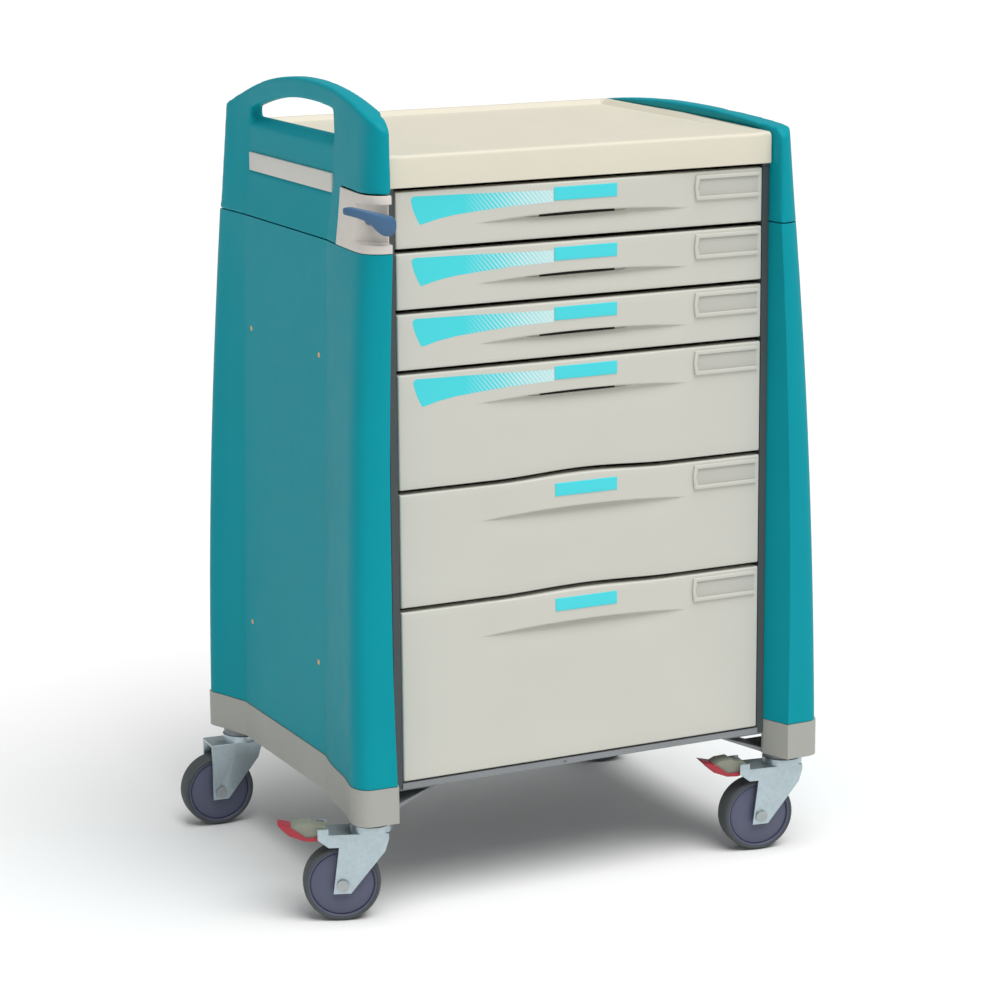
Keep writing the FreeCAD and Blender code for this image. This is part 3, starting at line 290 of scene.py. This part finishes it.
TOP_HALF, TOP_FRONT, TOP_REAR, TOP_Z, TOP_UNDER = 272.5, -4.0, 449.0, 976.5, 936.5
RIM, RIM_TOP, RIM_FOOT, FRONT_EDGE, SIDE_EDGE = 6.0, 10.5, 17.5, 5.0, 1.5
RIM_START, RIM_RUN = 0.12, 260.0    # share of its height at the front, and where it is whole
TOP_STEP, TOP_CENTRE_Y = 8.0, 222
rim_marks = (RIM_TOP - 1, RIM_TOP, RIM_FOOT, RIM_FOOT + 1)
top_xs = sorted(rounded_ends(-TOP_HALF, TOP_HALF, SIDE_EDGE, TOP_STEP)
                + [TOP_HALF - mark for mark in rim_marks]
                + [mark - TOP_HALF for mark in rim_marks])
top_ys = sorted(rounded_ends(TOP_FRONT, TOP_REAR, FRONT_EDGE, TOP_STEP)
                + [TOP_REAR - mark for mark in rim_marks])


def rim_height(gap):
    """Height of the rim this far in from the edge: flat, then sloping to the sheet."""
    share = (RIM_FOOT - gap) / (RIM_FOOT - RIM_TOP)
    return RIM * min(1.0, max(0.0, share))


def worktop_spot(column, row):
    """Place of a point of the sheet, with its rims and its rounded edges."""
    x, y = top_xs[column], top_ys[row]
    fade = min(1.0, RIM_START + (y - TOP_FRONT) / RIM_RUN)
    side = rim_height(TOP_HALF - abs(x)) * fade
    lift = max(side, rim_height(TOP_REAR - y))
    drop = roll_off(TOP_HALF - abs(x), SIDE_EDGE)
    drop += roll_off(y - TOP_FRONT, FRONT_EDGE) + roll_off(TOP_REAR - y, SIDE_EDGE)
    return at(x, y, TOP_Z + lift - drop)


worktop = grid_piece("worktop_sheet", len(top_xs) - 1, len(top_ys) - 1, worktop_spot)
pick(worktop, lambda edge: len(edge.link_faces) == 1, "EDGE")
bpy.ops.mesh.extrude_region_move()
mesh = bmesh.from_edit_mesh(worktop.data)
for vertex in mesh.verts:
    if vertex.select:
        vertex.co.z = (TOP_UNDER + 1) / 1000
bmesh.update_edit_mesh(worktop.data)
# The last millimetre draws in, which takes the sharpness off the apron's lower edge.
bpy.ops.mesh.extrude_region_move(TRANSFORM_OT_translate={"value": (0, 0, -0.001)})
bpy.ops.transform.resize(value=(0.9975, 0.9970, 1),
                         center_override=at(0, TOP_CENTRE_Y, TOP_UNDER))
bpy.ops.mesh.edge_face_add()
cream = moulded_plastic("vacuum_formed_cream_abs", "#d9d3c1", rough=0.5, mottle=0.03)
settle(worktop, "cart", "cream_plastic", "worktop", material=cream)


# ---------------------------------------------------------------- drawer fronts
# Injection-moulded warm grey ABS, one per drawer. A pull lip swells over a curved crease, with
# a slot for the fingers in the upper four, its back painted near-black as the shade inside the
# drawer, and the front below is dished and runs out smoothly. Where the deep drawers meet,
# their edges bow upwards together.
FRONT_HALF, FRONT_DEPTH, FRONT_WEB, FRONT_RIM, CORNER = 261.5, 18.0, 10.0, 4.0, 2.2
PULL_HALF, PULL_DROP, PULL_RISE, LIP_BULGE, DISH = 148.0, 45.0, 7.0, 4.8, 6.0
GRIP_LEFT, GRIP_RIGHT, GRIP_DEEP, GRIP_HIGH = -80.0, 66.0, 9.4, 5.4
SHADE_NEAR, SHADE_FAR = 0.0078, 0.0097    # depths in metres; the slot's back, painted near-black as shade, lies between
FOOT_BOW, TOP_BOW, BOW_HALF = {4: 4.5, 5: 3.3}, {5: 4.5, 6: 3.3}, 130
DISH_REACH, FRONT_ROW, SHALLOW_SLOT = 34.0, 14, 0.25
drawer_fronts = []
for drawer in range(1, 7):
    low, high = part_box("drawer_front_%d" % drawer)
    drawer_fronts.append((low.z * 1000, high.z * 1000))


def swell(x):
    """1 in the middle of the pull, 0 at the ends of the crease and beyond."""
    return max(0.0, 1 - (x / PULL_HALF) ** 2)


def lip_face(x):
    """How far the pull lip stands forward of the front."""
    return -LIP_BULGE * swell(x)


def grip(x):
    """1 where fingers reach through behind the lip, tapering to 0 at both ends."""
    middle, half = (GRIP_LEFT + GRIP_RIGHT) / 2, (GRIP_RIGHT - GRIP_LEFT) / 2
    return max(0.0, 1 - ((x - middle) / half) ** 2) ** 0.3


def bow(x):
    """1 in the middle of the front, 0 at both quarters: the run of its bowed edges."""
    return math.cos(min(1.0, abs(x) / BOW_HALF) * math.pi / 2) ** 2


def front_rows(bottom, top, arch, crown, through):
    """Down the front: for each row, a function of x that gives depth and height."""
    rows = []
    for share in QUARTER:
        rows.append(lambda x, s=share: (lip_face(x) + roll_off(CORNER * s, CORNER),
                                        top + crown * bow(x) - CORNER * s))

    def crease(x):
        return top - PULL_DROP + PULL_RISE * swell(x)

    for share in (0.2, 0.4, 0.6, 0.8, 0.93):
        rows.append(lambda x, s=share: (
            lip_face(x), (top + crown * bow(x) - CORNER) * (1 - s) + crease(x) * s))
    for back, up in ((0.0, 1.3), (0.35, 0.5), (1.1, 0.05)):
        rows.append(lambda x, b=back, u=up: (lip_face(x) + b * swell(x), crease(x) + u))

    def slot(x):
        return GRIP_HIGH * grip(x) * through

    def slot_back(x):
        return DISH * swell(x) + (GRIP_DEEP - DISH) * grip(x) * through

    rows.append(lambda x: (slot_back(x), crease(x)))
    rows.append(lambda x: (slot_back(x), crease(x) - 0.1 - slot(x)))
    reach = min(DISH_REACH, top - PULL_DROP - bottom - CORNER - 3)
    for share in (0.0, 0.08, 0.18, 0.3, 0.45, 0.6, 0.75, 0.88, 1.0):
        rows.append(lambda x, s=share: (
            DISH * swell(x) * (1 - s) ** 2.2,
            (crease(x) - 0.2 - slot(x)) * (1 - s) + (top - PULL_DROP - reach) * s))

    def foot(x):
        return bottom + arch * bow(x)

    start = top - PULL_DROP - reach
    count = max(1, round((start - bottom) / FRONT_ROW))
    for i in range(1, count):
        rows.append(lambda x, s=i / count: (0.0, start * (1 - s) + (foot(x) + CORNER) * s))
    for share in reversed(QUARTER):
        rows.append(lambda x, s=share: (roll_off(CORNER * s, CORNER), foot(x) + CORNER * s))
    return rows


# Painted shade: a near-black plastic on the back of the finger slot stands in for the unlit
# inside of the drawer.
painted_slot_shade = moulded_plastic("painted_shade_slot_back", "#1d1e1e", rough=0.7)
drawer_abs = moulded_plastic("moulded_warm_grey_abs", "#c8c7be", rough=0.5, mottle=0.025)
front_xs = rounded_ends(-FRONT_HALF, FRONT_HALF, CORNER, 6.0)
for drawer, (bottom, top) in enumerate(drawer_fronts, 1):
    rows = front_rows(bottom, top, FOOT_BOW.get(drawer, 0.0), TOP_BOW.get(drawer, 0.0),
                      1.0 if drawer < 5 else SHALLOW_SLOT)

    def front_spot(column, row):
        """Place of a point of this front; row 0 is its bottom edge."""
        x = front_xs[column]
        y, z = rows[len(rows) - 1 - row](x)
        return at(x, y + roll_off(FRONT_HALF - abs(x), CORNER), z)

    front = grid_piece("drawer_face_%d" % drawer, len(front_xs) - 1, len(rows) - 1, front_spot)
    middle = at(0, 0, (top + bottom) / 2)
    for depth, inset in ((FRONT_DEPTH, 0.0), (FRONT_DEPTH, FRONT_RIM), (FRONT_WEB, FRONT_RIM)):
        pick(front, lambda edge: len(edge.link_faces) == 1, "EDGE")
        bpy.ops.mesh.extrude_region_move()
        mesh = bmesh.from_edit_mesh(front.data)
        for vertex in mesh.verts:
            if vertex.select:
                vertex.co.y = at(0, depth, 0).y
        bmesh.update_edit_mesh(front.data)
        if inset and depth == FRONT_DEPTH:
            bpy.ops.transform.resize(
                value=(1 - inset / FRONT_HALF, 1, 1 - 2 * inset / (top - bottom)),
                center_override=middle)
    bpy.ops.mesh.edge_face_add()
    settle(front, "drawer_%d" % drawer, "drawer_grey", "drawer_front_%d" % drawer,
           material=drawer_abs, angle=40)
    front.data.materials.append(painted_slot_shade)
    # The slot's back faces in the upper four fronts take the painted shade.
    for face in front.data.polygons:
        at_slot_back = SHADE_NEAR < face.center.y - FACE_Y < SHADE_FAR
        if drawer < 5 and at_slot_back and face.normal.y < -0.5:
            face.material_index = 1


# ---------------------------------------------------------------- badges, decals, label holders
# A bright cyan ABS plate clipped into each lip; a printed vinyl film beside it on the upper
# four drawers, solid cyan that breaks up into hatching; and a rail, open at its right end,
# that holds a paper label.
badge_abs = moulded_plastic("moulded_cyan_abs", "#3fd3dc", rough=0.35, mottle=0.02, gloss=0.5)

vinyl, tree, shader = finish("printed_vinyl_film")
HATCH_START_X, HATCH_PITCH = -240, 0.0045    # lines 4.5 mm apart, which is as fine as shows
place = add(tree, "ShaderNodeTexCoord").outputs["Object"]
centred = add(tree, "ShaderNodeMapping", {"Vector": place}, vector_type="TEXTURE")
centred.inputs["Location"].default_value = at(HATCH_START_X, 0, 0)
run = add(tree, "ShaderNodeSeparateXYZ", {"Vector": centred.outputs["Vector"]})
fade = add(tree, "ShaderNodeMapRange", {"Value": run.outputs["X"], "From Min": 0.070,
                                        "From Max": 0.150, "To Min": 0.0, "To Max": 1.0})
leaning = add(tree, "ShaderNodeMapping", {"Vector": centred.outputs["Vector"]})
leaning.inputs["Rotation"].default_value = (0, math.radians(40), 0)
hatch = add(tree, "ShaderNodeTexWave", {"Vector": leaning.outputs["Vector"],
                                        "Scale": math.pi / 10 / HATCH_PITCH})
crisp = add(tree, "ShaderNodeMapRange", {"Value": hatch.outputs["Fac"], "From Min": 0.35,
                                         "From Max": 0.65})
lines = add(tree, "ShaderNodeMath", {0: crisp.outputs["Result"], 1: fade.outputs["Result"]},
            operation="MULTIPLY")
pale = add(tree, "ShaderNodeMapRange", {"Value": run.outputs["X"], "From Min": 0.115,
                                        "From Max": 0.185, "To Min": 0.0, "To Max": 0.75})
white = add(tree, "ShaderNodeMath", {0: lines.outputs[0], 1: pale.outputs["Result"]},
            operation="MAXIMUM")
ink = add(tree, "ShaderNodeMix", {"Factor": white.outputs[0]}, data_type="RGBA")
ink.inputs["A"].default_value = linear("#3dd2da")
ink.inputs["B"].default_value = linear("#cfe6e6")
tree.links.new(ink.outputs["Result"], shader.inputs["Base Color"])
ripple = add(tree, "ShaderNodeTexNoise", {"Vector": place, "Scale": 1 / 0.008, "Detail": 2})
press = add(tree, "ShaderNodeBump", {"Height": ripple.outputs["Fac"], "Strength": 0.2,
                                     "Distance": 0.0001})
tree.links.new(press.outputs["Normal"], shader.inputs["Normal"])
shader.inputs["Roughness"].default_value = 0.38

paper, tree, shader = finish("uncoated_label_card")
place = add(tree, "ShaderNodeTexCoord").outputs["Object"]
fibre = add(tree, "ShaderNodeTexNoise", {"Vector": place, "Scale": 1 / 0.0012, "Detail": 4})
tone = add(tree, "ShaderNodeMix", {"Factor": fibre.outputs["Fac"]}, data_type="RGBA")
tone.inputs["A"].default_value = linear("#b7b6ae")
tone.inputs["B"].default_value = linear("#c2c1b9")
tree.links.new(tone.outputs["Result"], shader.inputs["Base Color"])
shader.inputs["Roughness"].default_value = 0.7

# Heights are from the top of a drawer front: up for the badge, the rail and the card, and
# down for the two edges of the film.
BADGE_HALF, BADGE_LOW, BADGE_HIGH, BADGE_PROUD, BADGE_EDGE = 45.0, -23.0, -6.0, 0.85, 0.7
badge_xs = rounded_ends(-BADGE_HALF, BADGE_HALF, BADGE_EDGE, 5.0)
badge_zs = rounded_ends(BADGE_LOW, BADGE_HIGH, BADGE_EDGE, 5.0)
FILM_TOP = [(-241, 6.0), (-46, 9.6)]
FILM_FOOT = [(-229, 42.0), (-205, 36.0), (-182, 32.4), (-140, 29.0), (-105, 26.3),
             (-46, 24.5)]
FILM_ACROSS, FILM_UP, FILM_PROUD, FILM_EDGE = 48, 6, 0.12, 3
RAIL = [(162, -36.5), (256, -36.5), (256, -31.5), (167, -31.5), (164.4, -20.5), (167, -9.5),
        (256, -9.5), (256, -4.5), (162, -4.5), (160, -20.5)]
CARD = [(165.5, -32), (254.6, -32), (254.6, -9), (165.5, -9)]


def read_off(points, x):
    """What a line drawn through the points reads at x."""
    for (x0, z0), (x1, z1) in zip(points, points[1:]):
        if x <= x1:
            return z0 + (z1 - z0) * (x - x0) / (x1 - x0)
    return points[-1][1]


def slab(name, outline, front, back, bevel):
    """A flat plate drawn on the front as points, with its edges rounded over."""
    bpy.ops.object.select_all(action="DESELECT")
    bpy.ops.mesh.primitive_circle_add(vertices=len(outline), fill_type="NGON")
    made = bpy.context.object
    made.name = made.data.name = name
    for vertex, (x, z) in zip(made.data.vertices, outline):
        vertex.co = at(x, front, z)
    bpy.ops.object.mode_set(mode="EDIT")
    bpy.ops.mesh.select_all(action="SELECT")
    bpy.ops.mesh.extrude_region_move(
        TRANSFORM_OT_translate={"value": (0, (back - front) / 1000, 0)})
    bpy.ops.mesh.select_all(action="SELECT")
    bpy.ops.mesh.normals_make_consistent(inside=False)
    bpy.ops.object.mode_set(mode="OBJECT")
    rounding = made.modifiers.new("edges", "BEVEL")
    rounding.width = bevel / 1000
    rounding.segments = 3
    bpy.ops.object.modifier_apply(modifier="edges")
    return made


for drawer, (bottom, top) in enumerate(drawer_fronts, 1):
    body = "drawer_%d" % drawer

    def badge_spot(column, row):
        """Place of a point of the badge, which follows the swell of the lip."""
        x, z = badge_xs[column], top + badge_zs[row]
        near = min(BADGE_HALF - abs(x), z - top - BADGE_LOW, top + BADGE_HIGH - z)
        return at(x, lip_face(x) - BADGE_PROUD + roll_off(near, BADGE_EDGE), z)

    badge = grid_piece("badge_%d" % drawer, len(badge_xs) - 1, len(badge_zs) - 1, badge_spot)
    bpy.ops.mesh.select_all(action="SELECT")
    bpy.ops.mesh.extrude_region_move(TRANSFORM_OT_translate={"value": (0, 0.0012, 0)})
    settle(badge, body, "badge_cyan", "pull_badge_%d" % drawer, material=badge_abs)

    if drawer <= 4:
        def film_spot(column, row):
            """Place of a point of the film, between its straight top and its curved foot."""
            u, v = column / FILM_ACROSS, row / FILM_UP
            run_top = (FILM_TOP[-1][0] - FILM_TOP[0][0]) * u
            x = FILM_TOP[0][0] + run_top
            ceiling = top - read_off(FILM_TOP, x)
            foot_x = FILM_FOOT[0][0] + (FILM_FOOT[-1][0] - FILM_FOOT[0][0]) * u
            foot = top - read_off(FILM_FOOT, foot_x)
            x += (foot_x - x) * (1 - v) ** 1.6
            ceiling -= roll_off(run_top, FILM_EDGE)
            return at(x, lip_face(x) - FILM_PROUD, foot + (ceiling - foot) * v)

        film = grid_piece("decal_film_%d" % drawer, FILM_ACROSS, FILM_UP, film_spot)
        bpy.ops.mesh.select_all(action="SELECT")
        bpy.ops.mesh.extrude_region_move(TRANSFORM_OT_translate={"value": (0, 0.0002, 0)})
        settle(film, body, "badge_cyan", material=vinyl)

    holder = slab("label_rail_%d" % drawer, [(x, top + z) for x, z in RAIL],
                  front=-3.0, back=0.4, bevel=0.7)
    settle(holder, body, "drawer_grey", material=drawer_abs)
    card = slab("label_card_%d" % drawer, [(x, top + z) for x, z in CARD],
                front=-0.7, back=0.3, bevel=0.15)
    settle(card, body, "cream_plastic", material=paper)


# ---------------------------------------------------------------- moulded side panels
# Vacuum-formed teal ABS shells on both sides: a long lower panel with a sunk middle, and an
# upper one that rises into the push handle on the left. The upper shells are softened above
# the joint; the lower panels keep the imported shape.
def rounded_copy(node, name, radius):
    """A copy of a CAD part with its split points merged, the triangles of each flat face
    joined into one, and its sharp edges rounded to a radius in mm."""
    bpy.ops.object.select_all(action="DESELECT")
    made = bpy.data.objects.new(name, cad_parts[node].data.copy())
    made.data.name = name
    scene.collection.objects.link(made)
    made.matrix_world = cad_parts[node].matrix_world.copy()
    made.select_set(True)
    bpy.context.view_layer.objects.active = made
    if made.data.has_custom_normals:
        bpy.ops.mesh.customdata_custom_splitnormals_clear()
    bpy.ops.object.mode_set(mode="EDIT")
    bpy.ops.mesh.select_all(action="SELECT")
    bpy.ops.mesh.remove_doubles(threshold=0.00002)
    bpy.ops.mesh.dissolve_limited(angle_limit=math.radians(0.6))
    bpy.ops.object.mode_set(mode="OBJECT")
    rounding = made.modifiers.new("edges", "BEVEL")
    rounding.width = radius / 1000
    rounding.segments = 3
    rounding.limit_method = "ANGLE"
    rounding.angle_limit = math.radians(28)
    rounding.miter_outer = "MITER_ARC"
    bpy.ops.object.modifier_apply(modifier="edges")
    bpy.ops.object.mode_set(mode="EDIT")
    bpy.ops.mesh.select_all(action="SELECT")
    bpy.ops.mesh.remove_doubles(threshold=0.00001)
    bpy.ops.object.mode_set(mode="OBJECT")
    return made


def soften(made, grain, rounds, above):
    """Remakes a piece from small, even faces, then relaxes those above a height in mm."""
    remake = made.modifiers.new("remake", "REMESH")
    remake.mode = "VOXEL"
    remake.voxel_size = grain
    bpy.ops.object.modifier_apply(modifier="remake")
    soft = made.vertex_groups.new(name="soft")
    soft.add([v.index for v in made.data.vertices if v.co.z > above / 1000], 1.0, "ADD")
    relax = made.modifiers.new("relax", "SMOOTH")
    relax.factor = 0.5
    relax.iterations = rounds
    relax.vertex_group = "soft"
    bpy.ops.object.modifier_apply(modifier="relax")


teal = moulded_plastic("vacuum_formed_teal_abs", "#07929f", rough=0.46, mottle=0.05, gloss=0.08)
SEAM_TOP = 868                      # the joint with the lower panel stays crisp below this
for side in ("left", "right"):
    upper = rounded_copy("upper_panel_" + side, "upper_shell_" + side, 0.8)
    soften(upper, grain=0.0021, rounds=18, above=SEAM_TOP)
    settle(upper, "cart", "shell_teal", "upper_panel_" + side, material=teal, angle=35)
    dress("lower_panel_" + side, teal)


# ---------------------------------------------------------------- skirts and side strip
# Grey ABS. A bumper skirt is clipped under each side panel, and a flat, paler strip is let
# into the left one below the handle.
skirt_abs = moulded_plastic("moulded_grey_abs", "#a5a69f", rough=0.52, mottle=0.05)
strip_abs = moulded_plastic("moulded_pale_grey_abs", "#cfcec8", rough=0.4, mottle=0.02)
for side in ("left", "right"):
    dress("skirt_" + side, skirt_abs)
strip = rounded_copy("side_strip", "handle_strip", 1.0)
settle(strip, "cart", "strip_grey", "side_strip", material=strip_abs)


# ---------------------------------------------------------------- central lock
# A pale moulded housing at the front of the handle, a curved slate-blue lever that swells into
# a lobe over its spindle, and the plated bar behind the panel that rises with the lever.
housing_abs = moulded_plastic("moulded_ivory_abs", "#d6d0c8", rough=0.42, mottle=0.03)
lever_nylon = moulded_plastic("moulded_slate_blue_nylon", "#3f6286", rough=0.45, mottle=0.07)
housing = rounded_copy("lock_housing", "lock_bezel", 1.2)
settle(housing, "cart", "housing_grey", "lock_housing", material=housing_abs, angle=35)
# Stations along the lever: x, y and z of its middle, then its height and its thickness.
LEVER = [(-336.0, -10.8, 914.5, 4, 3), (-335.0, -12.0, 914.5, 8.5, 7),
         (-328, -17, 914, 11.5, 9), (-318, -22, 911, 13.0, 10),
         (-308, -26, 907.0, 16, 10.5), (-301, -28, 902.0, 22, 10.8),
         (-293, -29.2, 897.5, 26, 11), (-285, -29.3, 895.5, 26, 11),
         (-279.5, -29.2, 895.5, 22, 10.5), (-276.0, -29.0, 896.0, 14, 8),
         (-274.6, -29.0, 896.2, 5, 3)]
AROUND, BETWEEN = 28, 4             # points round the lever, and rows from station to station
LEVER_MIDDLE_X, SPINDLE_X, SPINDLE_Y = -305, -293, 6.5
SPINDLE_RISE = 18.9                 # of the spindle's axis above the lever's lowest point


def lever_spot(column, row):
    """Place of a point of the lever: a smooth run through its stations, squarish across."""
    first = min(row // BETWEEN, len(LEVER) - 2)
    share = row / BETWEEN - first
    before, after = LEVER[max(0, first - 1)], LEVER[min(len(LEVER) - 1, first + 2)]
    x, y, z, height, thick = (
        0.5 * (2 * p1 + (p2 - p0) * share + (2 * p0 - 5 * p1 + 4 * p2 - p3) * share ** 2
               + (3 * p1 - p0 - 3 * p2 + p3) * share ** 3)
        for p0, p1, p2, p3 in zip(before, LEVER[first], LEVER[first + 1], after))
    angle = 2 * math.pi * column / AROUND
    across, up = math.cos(angle), math.sin(angle)
    return at(x, y + thick / 2 * math.copysign(abs(across) ** 0.7, across),
              z + height / 2 * math.copysign(abs(up) ** 0.7, up))


bpy.ops.object.select_all(action="DESELECT")
spindle_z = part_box("lock_lever")[0].z * 1000 + SPINDLE_RISE
bpy.ops.mesh.primitive_cylinder_add(vertices=40, radius=0.004, depth=0.064,
                                    location=at(SPINDLE_X, SPINDLE_Y, spindle_z),
                                    rotation=(math.pi / 2, 0, 0))
spindle = bpy.context.object
bpy.ops.object.transform_apply(location=True, rotation=True, scale=True)
lever = grid_piece("lock_thumb_lever", AROUND, (len(LEVER) - 1) * BETWEEN, lever_spot)
bpy.ops.mesh.select_all(action="SELECT")
bpy.ops.mesh.remove_doubles(threshold=0.000005)
for end in (-1, 1):
    pick(lever, lambda edge: len(edge.link_faces) == 1
         and (edge.verts[0].co.x - at(LEVER_MIDDLE_X, 0, 0).x) * end > 0, "EDGE")
    bpy.ops.mesh.edge_face_add()
bpy.ops.object.mode_set(mode="OBJECT")
spindle.select_set(True)
lever.select_set(True)
bpy.context.view_layer.objects.active = lever
bpy.ops.object.join()
bpy.ops.object.mode_set(mode="EDIT")
settle(lever, "lock_lever", "lever_blue", "lock_lever", material=lever_nylon, angle=45)
dress("lock_bar", slide_zinc)
dress("panel_screws", plated_steel("yellow_passivated_screw_steel", "#c9a365"))


# ---------------------------------------------------------------- casters
# Four 100 mm swivel casters: a pressed fork of bright zinc-plated steel, a violet-grey disc with
# raised rings, and a dark rubber tread with rounded shoulders. The front pair has brakes.
fork_zinc = plated_steel("bright_zinc_plated_fork_steel", "#b4c3c9", rough=0.3)
disc_nylon = moulded_plastic("moulded_violet_nylon", "#565a6f", rough=0.45, mottle=0.05)
block_nylon = moulded_plastic("moulded_olive_grey_nylon", "#85887a", rough=0.5, mottle=0.05)
pedal_nylon = moulded_plastic("moulded_red_nylon", "#a3303c", rough=0.42, mottle=0.05)

rubber, tree, shader = finish("vulcanised_tread_rubber")
place = add(tree, "ShaderNodeTexCoord").outputs["Object"]
scuff = add(tree, "ShaderNodeTexNoise", {"Vector": place, "Scale": 1 / 0.012, "Detail": 8,
                                         "Roughness": 0.7})
tone = add(tree, "ShaderNodeMix", {"Factor": scuff.outputs["Fac"]}, data_type="RGBA")
tone.inputs["A"].default_value = linear("#3b4042")
tone.inputs["B"].default_value = linear("#4e5456")
spread = add(tree, "ShaderNodeMapRange", {"Value": scuff.outputs["Fac"],
                                          "To Min": 0.55, "To Max": 0.8})
press = add(tree, "ShaderNodeBump", {"Height": scuff.outputs["Fac"], "Strength": 0.3,
                                     "Distance": 0.0002})
wire(tree, shader, tone.outputs["Result"], spread, press)

AXIS_X, AXIS_FRONT, AXIS_REAR, AXLE_Z = 306.0, 6.0, 449.0, 50
TURN_STEPS = 72
# Radius and offset along the axle, round the section of the tread and of half the disc.
TREAD = [(44.6, -14.6), (46.6, -15.2), (48.3, -14.2), (49.4, -11.6), (49.9, -7.0),
         (50.0, -2.0), (50.0, 2.0), (49.9, 7.0), (49.4, 11.6), (48.3, 14.2), (46.6, 15.2),
         (44.6, 14.6), (44.0, 14.0), (44.0, -14.0), (44.6, -14.6)]
HALF_DISC = [(5.3, 12.4), (9.0, 12.6), (20.0, 12.9), (39.8, 12.6), (40.4, 12.2), (40.5, 10.2),
             (41.5, 10.2), (41.7, 13.4), (42.6, 14.4), (43.8, 14.4), (44.5, 13.9)]
DISC = ([(r, -w) for r, w in HALF_DISC] + [(r, w) for r, w in reversed(HALF_DISC)]
        + [(5.3, -12.4)])


def turned(name, profile, centre, axle):
    """A ring turned on the axle from its closed profile of radii and offsets."""
    across = Vector((-axle.y, axle.x, 0))

    def ring_spot(column, row):
        """Place of a point of the ring."""
        angle = 2 * math.pi * column / TURN_STEPS
        radius, offset = profile[row]
        return (centre + (axle * offset + across * (radius * math.cos(angle))
                          + Vector((0, 0, radius * math.sin(angle)))) / 1000)

    made = grid_piece(name, TURN_STEPS, len(profile) - 1, ring_spot)
    bpy.ops.mesh.select_all(action="SELECT")
    bpy.ops.mesh.remove_doubles(threshold=0.000005)
    return made


for corner in ("front_left", "front_right", "rear_left", "rear_right"):
    sign = -1 if corner.endswith("left") else 1
    pivot = at(sign * AXIS_X, AXIS_FRONT if corner.startswith("front") else AXIS_REAR, AXLE_Z)
    low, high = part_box("wheel_tyre_" + corner)
    centre = (low + high) / 2
    trail = (centre - pivot).normalized()
    axle = Vector((-trail.y, trail.x, 0)).normalized()
    swivel, wheel = "swivel_" + corner, "wheel_" + corner
    tread = turned("tread_" + corner, TREAD, centre, axle)
    settle(tread, wheel, "tread_rubber", "wheel_tyre_" + corner, material=rubber, angle=50)
    disc = turned("disc_" + corner, DISC, centre, axle)
    settle(disc, wheel, "wheel_violet", "wheel_hub_" + corner, material=disc_nylon, angle=38)
    fork = rounded_copy("caster_fork_" + corner, "fork_" + corner, 1.5)
    settle(fork, swivel, "fork_zinc", "caster_fork_" + corner, material=fork_zinc, angle=38)
    dress("wheel_axle_" + corner, slide_zinc)

# Each pedal parts into the red tread plate and the release block, which stands higher.
for corner in ("front_left", "front_right"):
    rounded_copy("brake_pedal_" + corner, "brake_parts_" + corner, 1.6)
    bpy.ops.object.mode_set(mode="EDIT")
    bpy.ops.mesh.select_all(action="SELECT")
    bpy.ops.mesh.separate(type="LOOSE")
    bpy.ops.object.mode_set(mode="OBJECT")
    plate, block = sorted(bpy.context.selected_objects,
                          key=lambda part: min(v.co.z for v in part.data.vertices))[:2]
    plate.name = plate.data.name = "brake_tread_" + corner
    block.name = block.data.name = "release_block_" + corner
    settle(plate, "pedal_" + corner, "pedal_red", "brake_pedal_" + corner,
           material=pedal_nylon, angle=40)
    settle(block, "pedal_" + corner, "skirt_grey", "brake_pedal_" + corner,
           material=block_nylon, angle=40)
